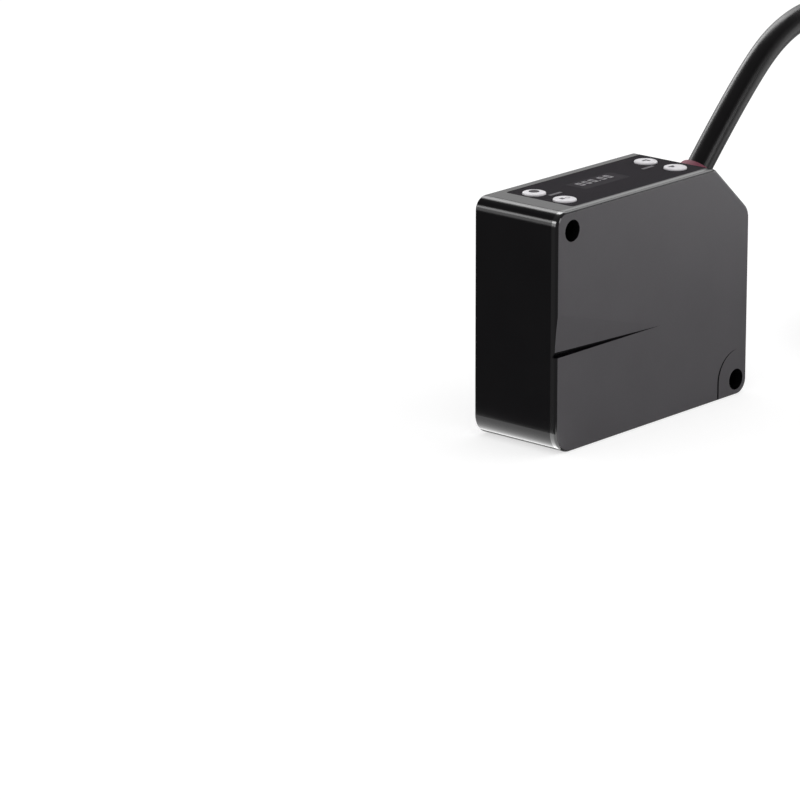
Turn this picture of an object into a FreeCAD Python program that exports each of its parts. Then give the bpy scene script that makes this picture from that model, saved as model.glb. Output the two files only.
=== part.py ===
import FreeCAD, Part
import math
import os

# Compact laser displacement sensor that measures downwards, with a short connector lead.
# Millimetres. X runs from the narrow glossy face to the rear, Y from the side cover to the
# far wall, Z up. The origin is at the middle of the optical face that the sensor stands on.

V = FreeCAD.Vector

# Overall body
body_depth = 62.0
body_width = 21.5
body_height = 50.0

# Outline seen from the side
front_top_radius = 2.8
front_foot_radius = 4.6
rear_foot_radius = 3.0
chamfer_run = 11.6
chamfer_drop = 10.7
chamfer_top_radius = 2.0
chamfer_low_radius = 4.0

# Walls and side cover
rim_wall = 2.2
far_wall = 1.6
far_edge_radius = 0.3
cover_thickness = 1.5
cover_edge_radius = 0.6
seal_to_cavity = 0.5
seal_width = 0.8
seal_depth = 0.7
seal_clearance = 0.05

# Mounting holes
mount_hole_radius = 2.25
mount_boss_wall = 1.7
mount_front_inset = 4.7
mount_top_inset = 4.15
mount_rear_inset = 3.6
mount_foot_inset = 3.4

# Styling cuts in the side cover
wedge_height = 20.4
wedge_tip_inset = 32.8
wedge_open = 1.9
wedge_depth = 1.1
facet_open = 9.1
facet_depth = 0.5
wedge_rib = 0.8
wedge_rib_height = 3.4
wedge_rib_clearance = 0.4
pad_line_radius = 6.2
pad_line_width = 0.44
pad_line_depth = 0.7
pad_line_rise = 0.3

# Cover screws
cover_screw_radius = 1.0
cover_screw_head_radius = 1.9
cover_screw_head_height = 1.1
cover_screw_clearance = 0.15
cover_screw_socket_radius = 0.75
cover_screw_socket_depth = 0.7
post_wall = 1.15
cover_boss_height = 3.0
cover_boss_clearance = 0.1
screw_front_inset = 3.8
screw_rear_inset = 3.6
screw_front_low = 5.6
screw_front_top_inset = 12.5
screw_rear_low = 14.5
screw_rear_top_inset = 17.5

# Display panel in the top
panel_front_inset = 7.0
panel_rear_inset = 12.0
panel_side_inset = 1.95
panel_corner_radius = 0.8
panel_thickness = 0.75
panel_recess = 0.05
panel_clearance = 0.05

# Display
window_front_inset = 20.0
window_length = 14.0
window_width = 5.4
window_centre_y = 1.2
window_clearance = 0.04
module_margin = 0.5
module_to_window = 0.1
module_clearance = 0.3

# Light pipes beside the buttons
pipe_length = 3.6
pipe_width = 0.75
pipe_centre_y = 0.65
pipe_front_inset = 12.95
pipe_rear_inset = 19.6
pipe_clearance = 0.04
pipe_proud = 0.02
led_height = 0.9
led_gap = 0.25

# Buttons and switches
button_radius = 2.42
button_proud = 0.3
button_edge_radius = 0.25
button_clearance = 0.14
button_travel = 0.4
button_room = 0.2
button_front_inset = 10.3
button_rear_inset = 16.3
button_front_y = 4.0
button_rear_y = 3.9
button_flange_radius = 3.1
button_flange_front = 1.5
button_flange_side = 2.7
button_flange_height = 0.8
button_flange_gap = 0.1
button_stem_radius = 1.1
switch_gap = 0.05
switch_half_x = 1.7
switch_half_y = 2.2
switch_height = 1.6
plunger_radius = 0.9
plunger_height = 0.5

# Display board under the panel
board_thickness = 1.0
display_board_drop = 6.8
display_board_front_inset = 7.9
display_board_rear_inset = 13.0
display_board_side_inset = 2.95
board_post_radius = 1.7
board_screw_radius = 0.8
board_screw_head_radius = 1.45
board_screw_head_height = 0.9
board_screw_depth = 3.2
board_post_front_inset = 16.5
board_post_rear_inset = 21.8
board_post_side_inset = 1.6
board_screw_reach = 1.0

# Main board along the side cover
main_board_gap = 1.05
main_board_front_inset = 6.7
main_board_rear_inset = 7.8
main_board_low = 3.6
main_board_top_inset = 9.0
main_screw_radius = 1.0
main_screw_head_radius = 1.8
main_screw_head_height = 0.8
main_screw_depth = 3.0
main_screw_clearance = 0.1
chip_size = 8.0
chip_height = 1.4
chip_beside_laser_board = 0.5
chip_top_inset = 6.5
capacitor_radius = 1.6
capacitor_height = 3.6
capacitor_gap = 1.9
capacitor_pitch = 3.6
header_length = 12.0
header_width = 2.4
header_height = 3.4
header_beside_post = 12.2
wire_plug_length = 9.6
wire_plug_width = 4.0
wire_plug_height = 3.0
wire_plug_rear_inset = 17.6
wire_plug_top_inset = 6.8

# Optical chassis
chassis_plate = 2.0
chassis_gap_to_wall = 2.0
chassis_front_inset = 6.3
chassis_rear_inset = 7.6
chassis_low = 6.0
chassis_high = 31.0
chassis_boss_radius = 2.2
chassis_screw_radius = 1.0
chassis_screw_head_radius = 1.8
chassis_screw_head_height = 1.0
chassis_screw_depth = 1.4
chassis_screw_beside_block = 4.0
chassis_screw_rise = 3.0
chassis_screw_drop = 2.6
chassis_screw_rear_inset = 10.2
chassis_screw_rear_rise = 3.6
chassis_screw_hole_gap = 0.4
board_standoff_radius = 2.1
board_standoff_rise = 8.6
board_standoff_rear_inset = 9.8
board_standoff_rear_rise = 9.0
board_standoff_front_inset = 8.6

# Laser emitter
emitter_inset = 11.4
emitter_block_half = 5.2
emitter_block_high = 24.0
barrel_radius = 4.4
barrel_clearance = 0.05
barrel_low = 7.0
barrel_high = 22.2
collimator_radius = 3.0
collimator_thickness = 2.2
collimator_bulge = 0.9
collimator_seat = 15.2
collimator_clearance = 0.04
retainer_bore = 2.0
retainer_thickness = 1.4
beam_bore = 2.2
diode_flange_radius = 2.8
diode_flange = 1.2
diode_cap_radius = 1.78
diode_cap_height = 2.4
diode_pin_radius = 0.22
diode_pin_circle = 1.27
diode_pin_clearance = 0.06
set_screw_radius = 1.0
set_screw_height = 12.0
set_screw_length = 1.3
laser_board_low = 25.0
laser_board_half = 5.3
laser_board_gap = 0.75

# Receiver, along an axis that leans to the rear
receiver_rear_inset = 29.0
receiver_lean = 25.5
cell_start = 6.8
cell_end = 14.0
cell_to_board = 0.9
cell_wall = 1.3
receiver_lens_seat = 12.0
receiver_lens_edge = 1.6
receiver_lens_bulge = 1.3
lens_clearance = 0.05
receiver_lens_shelf = 0.9
lens_seat_gap = 0.02
receiver_ring_thickness = 1.4
chamber_end = 25.0
chamber_half = 5.3
chamber_half_y = 4.1
chamber_wall = 1.3
flange_half = 8.4
flange_start = 22.0
sensor_board_half = 8.2
sensor_board_near_y = 5.4
sensor_board_gap = 0.15
image_chip_half = 4.6
image_chip_half_y = 3.2
image_chip_height = 1.6
image_glass_height = 0.4
sensor_screw_radius = 0.7
sensor_screw_head_radius = 1.3
sensor_screw_head_height = 0.8
sensor_screw_depth = 2.4
sensor_screw_offset = 7.0
sensor_plug_half = 4.0
sensor_plug_height = 2.4
sensor_plug_depth = 2.6

# Windows in the optical face
emission_glass_radius = 3.6
emission_open_radius = 2.8
receiving_glass_length = 17.0
receiving_glass_width = 11.4
receiving_shelf = 1.0
receiving_corner_radius = 1.2
window_pocket = 1.7
window_seal = 0.2
window_glass_gap = 0.05
window_recess = 0.4

# Cable gland in the rear chamfer
cable_radius = 2.7
gland_collar_radius = 4.2
gland_collar_height = 1.6
gland_top_radius = 3.5
gland_height = 3.0
gland_edge_radius = 0.35
gland_neck_radius = 3.5
gland_neck_clearance = 0.05
gland_flange_radius = 4.4
gland_flange_height = 1.4
gland_bore_clearance = 0.05
clamp_radius = 3.7
clamp_length = 2.6
clamp_gap = 0.1
jacket_inside = 8.0

# Lead wires inside
wire_radius = 0.45
wire_count = 5
wire_circle = 1.5
wire_bend_radius = 1.6
wire_drop = 1.6
wire_run = 0.9
wire_gap = 0.1

# Free cable: hand-set route from the gland down to the coil, then out to the connector
coil_centre_x = 98.4
coil_centre_y = -21.4
coil_mean_radius = 30.0
coil_layers = 2
coil_edge_radius = 2.2
first_run = 21.8
fall_route = (
    (55.5, -0.3, 73.0),
    (71.8, -1.0, 75.0),
    (89.5, -0.8, 70.0),
    (108.2, -3.6, 60.9),
    (122.7, -13.8, 49.3),
    (127.2, -30.7, 36.4),
    (117.8, -46.5, 24.6),
    (99.5, -53.5, 15.6),
    (80.5, -48.0, 10.8),
    (68.3, -32.4, 8.7),
    (67.6, -12.6, 8.3),
)
tail_lead_in = 3.5
tail_low_run = 7.0
tail_rise_run = 19.2
tail_length = 29.8

# Connector on the end of the lead, lying along X
grip_length = 22.0
grip_tail_radius = 3.6
grip_tail_length = 8.0
grip_radius = 6.1
grip_ring_count = 4
grip_ring_pitch = 2.6
grip_ring_width = 1.2
grip_ring_depth = 0.45
hub_radius = 4.5
hub_length = 4.4
hub_lip_radius = 4.8
hub_lip_length = 0.7
nut_radius = 7.05
nut_floor_gap = 0.05
nut_grip_length = 9.0
nut_thread_radius = 5.95
nut_length = 16.5
nut_running_gap = 0.08
nut_end_gap = 0.15
nut_bore_radius = 5.15
nut_land = 3.4
nut_flutes = 24
nut_flute_radius = 0.42
insert_radius = 4.25
insert_length = 13.0
pin_radius = 0.5
pin_circle = 2.6
pin_count = 4
pin_proud = 6.5
pin_root = 3.0
seal_ring_section = 0.6
seal_ring_gap = 0.02

# Places that follow from the sizes above
front_x = -body_depth / 2
rear_x = body_depth / 2
near_y = -body_width / 2
far_y = body_width / 2
cover_in_y = near_y + cover_thickness
far_in_y = far_y - far_wall
roof_z = body_height - rim_wall
panel_floor_z = body_height - panel_recess - panel_thickness
panel_top_z = body_height - panel_recess
mount_upper = (front_x + mount_front_inset, body_height - mount_top_inset)
mount_lower = (rear_x - mount_rear_inset, mount_foot_inset)
mount_boss_radius = mount_hole_radius + mount_boss_wall
post_radius = cover_screw_radius + cover_screw_clearance + post_wall
cover_screw_places = (
    (front_x + screw_front_inset, screw_front_low),
    (front_x + screw_front_inset, body_height - screw_front_top_inset),
    (rear_x - screw_rear_inset, screw_rear_low),
    (rear_x - screw_rear_inset, body_height - screw_rear_top_inset),
)
button_places = {
    "button_set": (front_x + button_front_inset, button_front_y),
    "button_mode": (front_x + button_front_inset, -button_front_y),
    "button_up": (rear_x - button_rear_inset, button_rear_y),
    "button_down": (rear_x - button_rear_inset, -button_rear_y),
}
pipe_places = (
    (front_x + pipe_front_inset, pipe_centre_y),
    (rear_x - pipe_rear_inset, pipe_centre_y),
)
window_x0 = front_x + window_front_inset
panel_half_width = body_width / 2 - panel_side_inset
board_top_z = body_height - display_board_drop
board_low_z = board_top_z - board_thickness
display_board_front = front_x + display_board_front_inset
display_board_rear = rear_x - display_board_rear_inset
display_board_half_width = body_width / 2 - display_board_side_inset
board_post_a = (front_x + board_post_front_inset, display_board_half_width - board_post_side_inset)
board_post_b = (rear_x - board_post_rear_inset, board_post_side_inset - display_board_half_width)
main_board_y0 = cover_in_y + main_board_gap
main_board_y1 = main_board_y0 + board_thickness
main_board_high = body_height - main_board_top_inset
emitter_x = front_x + emitter_inset
chip_centre = (
    emitter_x + laser_board_half + chip_beside_laser_board + chip_size / 2,
    main_board_high - chip_top_inset,
)
capacitor_x = chip_centre[0] + chip_size / 2 + capacitor_gap
capacitor_centres = (
    (capacitor_x, chip_centre[1]),
    (capacitor_x + capacitor_pitch, chip_centre[1]),
)
header_centre_x = board_post_b[0] - header_beside_post
wire_plug_centre = (rear_x - wire_plug_rear_inset, main_board_high - wire_plug_top_inset)
chassis_y1 = far_in_y - chassis_gap_to_wall
chassis_y0 = chassis_y1 - chassis_plate
receiver_x = rear_x - receiver_rear_inset
cell_radius = -main_board_y1 - cell_to_board
receiver_lens_radius = cell_radius - cell_wall
receiver_opening_radius = receiver_lens_radius - receiver_lens_shelf
block_near_y = -emitter_block_half
beside_block_x = emitter_x + emitter_block_half + chassis_screw_beside_block
chassis_screw_places = (
    (beside_block_x, chassis_low + chassis_screw_rise),
    (beside_block_x, chassis_high - chassis_screw_drop),
    (rear_x - chassis_screw_rear_inset, chassis_low + chassis_screw_rear_rise),
)
board_standoff_places = (
    (beside_block_x, chassis_low + board_standoff_rise),
    (rear_x - board_standoff_rear_inset, chassis_low + board_standoff_rear_rise),
    (front_x + board_standoff_front_inset, chassis_high - chassis_screw_drop),
)
lean = math.radians(receiver_lean)
axis_up = V(math.sin(lean), 0, math.cos(lean))
axis_across = V(math.cos(lean), 0, -math.sin(lean))
chamfer_length = math.hypot(chamfer_run, chamfer_drop)
gland_normal = V(chamfer_drop / chamfer_length, 0, chamfer_run / chamfer_length)
gland_root = V(rear_x - chamfer_run / 2, 0, body_height - chamfer_drop / 2)
coil_top = 4 * cable_radius * coil_layers / 2
plug_axis_z = nut_radius + nut_floor_gap
plug_axis_y = coil_centre_y - coil_mean_radius
plug_end_x = coil_centre_x - tail_length


# General helpers
def box(x0, x1, y0, y1, z0, z1):
    return Part.makeBox(x1 - x0, y1 - y0, z1 - z0, V(x0, y0, z0))


def rod(radius, start, end):
    way = end - start
    return Part.makeCylinder(radius, way.Length, start, way)


def rod_y(radius, place, y0, y1):
    return rod(radius, V(place[0], y0, place[1]), V(place[0], y1, place[1]))


def rod_z(radius, place, z0, z1):
    return rod(radius, V(place[0], place[1], z0), V(place[0], place[1], z1))


def rounded_box(x0, x1, y0, y1, z0, z1, radius):
    block = box(x0, x1, y0, y1, z0, z1)
    upright = [e for e in block.Edges if abs(e.tangentAt(e.FirstParameter).z) > 0.9]
    return block.makeFillet(radius, upright)


def rounded_outline(points, radii):
    """A closed wire through the points, each corner turned into a tangent arc."""
    edges = []
    count = len(points)
    starts = []
    ends = []
    for i, corner in enumerate(points):
        back = (points[i - 1] - corner).normalize()
        ahead = (points[(i + 1) % count] - corner).normalize()
        half = back.getAngle(ahead) / 2
        reach = radii[i] / math.tan(half)
        centre = corner + (back + ahead).normalize() * (radii[i] / math.sin(half))
        middle = centre + (corner - centre).normalize() * radii[i]
        starts.append(corner + back * reach)
        ends.append(corner + ahead * reach)
        edges.append(Part.Arc(starts[i], middle, ends[i]).toShape())
    for i in range(count):
        edges.append(Part.LineSegment(ends[i], starts[(i + 1) % count]).toShape())
    return Part.Wire(Part.__sortEdges__(edges))


def side_face(inset, y):
    """The side outline as a face, drawn in by an inset, at the height y."""
    corners = [
        V(front_x, 0, 0),
        V(rear_x, 0, 0),
        V(rear_x, 0, body_height - chamfer_drop),
        V(rear_x - chamfer_run, 0, body_height),
        V(front_x, 0, body_height),
    ]
    radii = [
        front_foot_radius,
        rear_foot_radius,
        chamfer_low_radius,
        chamfer_top_radius,
        front_top_radius,
    ]
    face = Part.Face(rounded_outline(corners, radii))
    if inset:
        face = face.makeOffset2D(-inset)
    face.translate(V(0, y, 0))
    return face


def side_slab(inset, y0, y1):
    return side_face(inset, y0).extrude(V(0, y1 - y0, 0))


def opening_shape(grow, y0, y1):
    """The housing's opening around both mounting holes, grown outwards by a distance."""
    shape = side_slab(rim_wall - grow, y0, y1)
    for place in (mount_upper, mount_lower):
        shape = shape.cut(rod_y(mount_boss_radius - grow, place, y0 - 1, y1 + 1))
    return shape


def cavity_shape(y0, y1):
    """The inside of the housing, with the posts of the cover screws left standing."""
    shape = opening_shape(0, y0, y1)
    for place in cover_screw_places:
        shape = shape.cut(rod_y(post_radius, place, y0 - 1, y1 + 1))
    return shape


def on_receiver(along, across=0.0, y=0.0):
    """A point on the leaning receiver axis, by its distance up, across and in Y."""
    return V(receiver_x, 0, 0) + axis_up * along + axis_across * across + V(0, y, 0)


def receiver_box(along0, along1, half, y0, y1, across=0.0):
    """A box that stands square to the receiver axis."""
    corner = on_receiver(along0, across - half, y0)
    edge = axis_across * (2 * half)
    side = V(0, y1 - y0, 0)
    points = [corner, corner + edge, corner + edge + side, corner + side, corner]
    return Part.Face(Part.makePolygon(points)).extrude(axis_up * (along1 - along0))


def receiver_rod(radius, along0, along1, across=0.0, y=0.0):
    return rod(radius, on_receiver(along0, across, y), on_receiver(along1, across, y))


def turned(profile, origin, axis):
    """A solid turned about an axis, from (radius, distance) pairs."""
    guide = V(0, 0, 1) if abs(axis.y) > 0.5 else V(0, 1, 0)
    points = [origin + guide * r + axis * d for r, d in profile]
    face = Part.Face(Part.makePolygon(points + points[:1]))
    return face.revolve(origin, axis, 360)


def round_edges(shape, radius, chosen):
    edges = [e for e in shape.Edges if chosen(e)]
    return shape.makeFillet(radius, edges)


def export(name, shape):
    if isinstance(shape, (list, tuple)):
        shape = Part.makeCompound(list(shape))
    for solid in shape.Solids:
        if not solid.isValid():
            raise ValueError(name + " is not a valid solid")
    shape.exportStep("parts/" + name + ".step")


# Housing and cover
def housing():
    shell = side_slab(0, cover_in_y, far_y)

    def on_far_rim(edge):
        return all(abs(v.Point.y - far_y) < 1e-4 for v in edge.Vertexes)

    shell = round_edges(shell, far_edge_radius, on_far_rim)
    shell = shell.cut(cavity_shape(cover_in_y - 1, far_in_y))
    shell = shell.fuse(
        [rod_y(chassis_boss_radius, p, chassis_y1, far_in_y + 0.5) for p in chassis_screw_places]
        + [
            rod_z(board_post_radius, p, board_top_z, roof_z + 0.5)
            for p in (board_post_a, board_post_b)
        ]
    )
    cuts = [rod_y(mount_hole_radius, p, cover_in_y - 1, far_y + 1) for p in (mount_upper, mount_lower)]
    cuts += [seal_ring(0, cover_in_y - 1, cover_in_y + seal_depth)]
    cuts += cover_screw_cuts()
    cuts += [
        rod_y(chassis_screw_radius, p, chassis_y1 - 1, chassis_y1 + chassis_screw_depth + chassis_screw_hole_gap)
        for p in chassis_screw_places
    ]
    cuts += [
        rod_z(board_screw_radius, p, board_top_z - 1, board_low_z + board_thickness + board_screw_depth)
        for p in (board_post_a, board_post_b)
    ]
    cuts += top_cuts() + optical_face_cuts()
    cuts.append(
        rod(
            gland_neck_radius + gland_neck_clearance,
            gland_root - gland_normal * (2 * rim_wall),
            gland_root + gland_normal * rim_wall,
        )
    )
    return shell.cut(cuts).removeSplitter()


def seal_ring(shrink, y0, y1):
    """The closed ring of the cover seal, or of its groove where shrink is zero."""
    inner = seal_to_cavity + shrink
    outer = seal_to_cavity + seal_width - shrink
    ring = opening_shape(outer, y0, y1).cut(opening_shape(inner, y0 - 1, y1 + 1))
    return max(ring.Solids, key=lambda solid: solid.Volume)


def cover_screw_cuts():
    cuts = []
    for place in cover_screw_places:
        clear = cover_screw_radius + cover_screw_clearance
        cuts.append(rod_y(clear, place, cover_in_y - 1, far_y + 1))
        cuts.append(cover_screw_head(place, cover_screw_clearance))
        socket = post_radius - post_wall / 2
        depth = cover_in_y + cover_boss_height + cover_boss_clearance
        cuts.append(rod_y(socket + cover_boss_clearance, place, cover_in_y - 1, depth))
    return cuts


def cover_screw_head(place, clearance):
    """The countersunk head in the far wall, flush with its face."""
    tip = V(place[0], far_y, place[1])
    outer = cover_screw_head_radius + clearance
    inner = cover_screw_radius + clearance
    return turned(
        [(0, 0), (outer, 0), (inner, cover_screw_head_height), (0, cover_screw_head_height)],
        tip,
        V(0, -1, 0),
    )


def top_cuts():
    """The panel recess in the top and what goes through its floor."""
    cuts = [
        rounded_box(
            front_x + panel_front_inset,
            rear_x - panel_rear_inset,
            -panel_half_width,
            panel_half_width,
            panel_floor_z,
            body_height + 1,
            panel_corner_radius,
        )
    ]
    room_z = roof_z - button_flange_gap - button_flange_height - button_travel - button_room
    for place in button_places.values():
        cuts.append(rod_z(button_radius + button_clearance, place, room_z, body_height + 1))
    cuts.append(display_block(module_margin + module_clearance, roof_z - 1, body_height + 1))
    for place in pipe_places:
        cuts.append(pipe_block(place, pipe_clearance, roof_z - 1, body_height + 1))
    return cuts


def display_block(shrink, z0, z1):
    """The display's rectangle, drawn in from the window's edge."""
    return box(
        window_x0 + module_margin - (shrink - module_margin),
        window_x0 + window_length - module_margin + (shrink - module_margin),
        window_centre_y - window_width / 2 + module_margin - (shrink - module_margin),
        window_centre_y + window_width / 2 - module_margin + (shrink - module_margin),
        z0,
        z1,
    )


def pipe_block(place, grow, z0, z1):
    return box(
        place[0] - pipe_length / 2 - grow,
        place[0] + pipe_length / 2 + grow,
        place[1] - pipe_width / 2 - grow,
        place[1] + pipe_width / 2 + grow,
        z0,
        z1,
    )


def receiving_plate(shrink, z0, z1):
    half_x = receiving_glass_length / 2 - shrink
    half_y = receiving_glass_width / 2 - shrink
    return rounded_box(
        receiver_x - half_x,
        receiver_x + half_x,
        -half_y,
        half_y,
        z0,
        z1,
        receiving_corner_radius,
    )


def optical_face_cuts():
    return [
        rod_z(emission_glass_radius + window_glass_gap, (emitter_x, 0), -1, window_pocket),
        rod_z(emission_open_radius, (emitter_x, 0), -1, rim_wall + 1),
        receiving_plate(-window_glass_gap, -1, window_pocket),
        receiving_plate(receiving_shelf, -1, rim_wall + 1),
    ]


def side_cover():
    plate = side_slab(0, near_y, cover_in_y)

    def on_near_rim(edge):
        return all(abs(v.Point.y - near_y) < 1e-4 for v in edge.Vertexes)

    plate = round_edges(plate, cover_edge_radius, on_near_rim)
    tip_x = front_x + wedge_tip_inset
    rib_front = front_x + rim_wall + wedge_rib_clearance
    rib = box(
        rib_front,
        tip_x,
        cover_in_y - 0.5,
        cover_in_y + wedge_rib,
        wedge_height - wedge_rib_height / 2,
        wedge_height + wedge_rib_height / 2,
    )
    boss_radius = post_radius - post_wall / 2
    bosses = [
        rod_y(boss_radius, p, cover_in_y - 0.5, cover_in_y + cover_boss_height)
        for p in cover_screw_places
    ]
    plate = plate.fuse([rib] + bosses)
    cuts = [rod_y(mount_hole_radius, p, near_y - 1, cover_in_y + 1) for p in (mount_upper, mount_lower)]
    cuts += [
        rod_y(cover_screw_radius, p, near_y + cover_thickness / 2, cover_in_y + cover_boss_height + 1)
        for p in cover_screw_places
    ]
    cuts += [
        wedge_cut(facet_open, facet_depth),
        wedge_cut(wedge_open, wedge_depth),
        pad_line_cut(),
    ]
    return plate.cut(cuts).removeSplitter()


def wedge_cut(opening, depth):
    """A pyramid from the wedge's tip: deep at the front face, nothing at the tip."""
    tip = V(front_x + wedge_tip_inset, near_y, wedge_height)
    past = 2.0
    reach = (wedge_tip_inset + past) / wedge_tip_inset
    slope = opening / depth
    base = [
        V(front_x, near_y + depth, wedge_height),
        V(front_x, near_y - past, wedge_height),
        V(front_x, near_y - past, wedge_height + opening + past * slope),
    ]
    base = [tip + (p - tip) * reach for p in base]
    faces = [Part.Face(Part.makePolygon(base + base[:1]))]
    for i in range(3):
        corner = [tip, base[i], base[(i + 1) % 3], tip]
        faces.append(Part.Face(Part.makePolygon(corner)))
    solid = Part.Solid(Part.Shell(faces))
    if solid.Volume < 0:
        solid.reverse()
    return solid


def pad_line_cut():
    """The fine line around the lower hole's pad: upright, then an arc that runs out."""
    y0 = near_y - 1
    y1 = near_y + pad_line_depth
    centre_z = mount_foot_inset + pad_line_rise
    centre = (mount_lower[0], centre_z)
    moved = (centre[0] + pad_line_width, centre_z)
    disc = rod_y(pad_line_radius, centre, y0, y1)
    crescent = disc.cut(rod_y(pad_line_radius, moved, y0 - 1, y1 + 1))
    left = centre[0] - pad_line_radius
    arc = crescent.common(
        box(left - 1, centre[0], y0, y1, centre_z, centre_z + 2 * pad_line_radius)
    )
    upright = box(left, left + pad_line_width, y0, y1, -1, centre_z + pad_line_width)
    return arc.fuse(upright)


def cover_seal():
    return seal_ring(seal_clearance, cover_in_y, cover_in_y + seal_depth - seal_clearance)


def cover_screws():
    screws = []
    for place in cover_screw_places:
        screw = rod_y(cover_screw_radius, place, near_y + cover_thickness, far_y - 0.1)
        screw = screw.fuse(cover_screw_head(place, 0))
        socket = rod_y(cover_screw_socket_radius, place, far_y - cover_screw_socket_depth, far_y + 1)
        screws.append(screw.cut(socket))
    return screws


# Top panel, display and buttons
def display_panel():
    gap = panel_clearance
    plate = rounded_box(
        front_x + panel_front_inset + gap,
        rear_x - panel_rear_inset - gap,
        -panel_half_width + gap,
        panel_half_width - gap,
        panel_floor_z,
        panel_top_z,
        panel_corner_radius,
    )
    cuts = [
        rod_z(button_radius + button_clearance, p, panel_floor_z - 1, panel_top_z + 1)
        for p in button_places.values()
    ]
    cuts.append(window_block(window_clearance, panel_floor_z - 1, panel_top_z + 1))
    cuts += [pipe_block(p, pipe_clearance, panel_floor_z - 1, panel_top_z + 1) for p in pipe_places]
    return plate.cut(cuts)


def window_block(grow, z0, z1):
    return box(
        window_x0 - grow,
        window_x0 + window_length + grow,
        window_centre_y - window_width / 2 - grow,
        window_centre_y + window_width / 2 + grow,
        z0,
        z1,
    )


def display_window():
    return window_block(0, panel_floor_z, panel_top_z)


def display_module():
    return display_block(module_margin, board_top_z, panel_floor_z - module_to_window)


def light_pipes():
    low = board_top_z + led_height + led_gap
    return [pipe_block(p, 0, low, panel_top_z + pipe_proud) for p in pipe_places]


def indicator_leds():
    return [pipe_block(p, -pipe_width / 8, board_top_z, board_top_z + led_height) for p in pipe_places]


def button(place):
    flange_top = roof_z - button_flange_gap
    flange_low = flange_top - button_flange_height
    switch_top = board_top_z + switch_height + plunger_height
    cap = rod_z(button_radius, place, flange_low, panel_top_z + button_proud)

    def on_crown(edge):
        return all(v.Point.z > panel_top_z + button_proud - 1e-4 for v in edge.Vertexes)

    cap = round_edges(cap, button_edge_radius, on_crown)
    flange = rod_z(button_flange_radius, place, flange_low, flange_top).common(
        box(
            place[0] - button_flange_front,
            place[0] + button_flange_radius,
            place[1] - button_flange_side,
            place[1] + button_flange_side,
            flange_low - 1,
            flange_top + 1,
        )
    )
    stem_end = switch_top + button_travel + switch_gap
    stem = rod_z(button_stem_radius, place, stem_end, flange_low + button_flange_height / 2)
    return cap.fuse([flange, stem]).removeSplitter()


def tact_switches():
    switches = []
    for x, y in button_places.values():
        case = box(
            x - switch_half_x,
            x + switch_half_x,
            y - switch_half_y,
            y + switch_half_y,
            board_top_z,
            board_top_z + switch_height,
        )
        plunger = rod_z(
            plunger_radius,
            (x, y),
            board_top_z + switch_height / 2,
            board_top_z + switch_height + plunger_height,
        )
        switches.append(case.fuse(plunger))
    return switches


def display_board():
    board = box(
        display_board_front,
        display_board_rear,
        -display_board_half_width,
        display_board_half_width,
        board_low_z,
        board_top_z,
    )
    holes = [
        rod_z(board_screw_radius, p, board_low_z - 1, board_top_z + 1)
        for p in (board_post_a, board_post_b)
    ]
    return board.cut(holes)


def display_board_screws():
    screws = []
    for place in (board_post_a, board_post_b):
        shank = rod_z(
            board_screw_radius, place, board_low_z - 0.1, board_low_z + board_thickness + board_screw_depth
        )
        head = rod_z(
            board_screw_head_radius, place, board_low_z - board_screw_head_height, board_low_z
        )
        screws.append(shank.fuse(head))
    return screws


# Main board and what is soldered to it
def main_board():
    board = box(
        front_x + main_board_front_inset,
        rear_x - main_board_rear_inset,
        main_board_y0,
        main_board_y1,
        main_board_low,
        main_board_high,
    )
    hole = main_screw_radius + main_screw_clearance
    holes = [rod_y(hole, p, main_board_y0 - 1, main_board_y1 + 1) for p in board_standoff_places]
    return board.cut(holes)


def main_board_screws():
    screws = []
    for place in board_standoff_places:
        shank = rod_y(main_screw_radius, place, main_board_y0 - 0.1, main_board_y1 + main_screw_depth)
        head = rod_y(main_screw_head_radius, place, main_board_y0 - main_screw_head_height, main_board_y0)
        screws.append(shank.fuse(head))
    return screws


def processor_chip():
    half = chip_size / 2
    return box(
        chip_centre[0] - half,
        chip_centre[0] + half,
        main_board_y1,
        main_board_y1 + chip_height,
        chip_centre[1] - half,
        chip_centre[1] + half,
    )


def capacitors():
    return [
        rod_y(capacitor_radius, place, main_board_y1, main_board_y1 + capacitor_height)
        for place in capacitor_centres
    ]


def board_header():
    """The plug block that stands on the main board and carries the display board's edge."""
    return box(
        header_centre_x - header_length / 2,
        header_centre_x + header_length / 2,
        main_board_y1,
        main_board_y1 + header_width,
        board_low_z - header_height,
        board_low_z,
    )


def wire_plug():
    x, z = wire_plug_centre
    return box(
        x - wire_plug_length / 2,
        x + wire_plug_length / 2,
        main_board_y1,
        main_board_y1 + wire_plug_width,
        z - wire_plug_height / 2,
        z + wire_plug_height / 2,
    )


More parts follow.
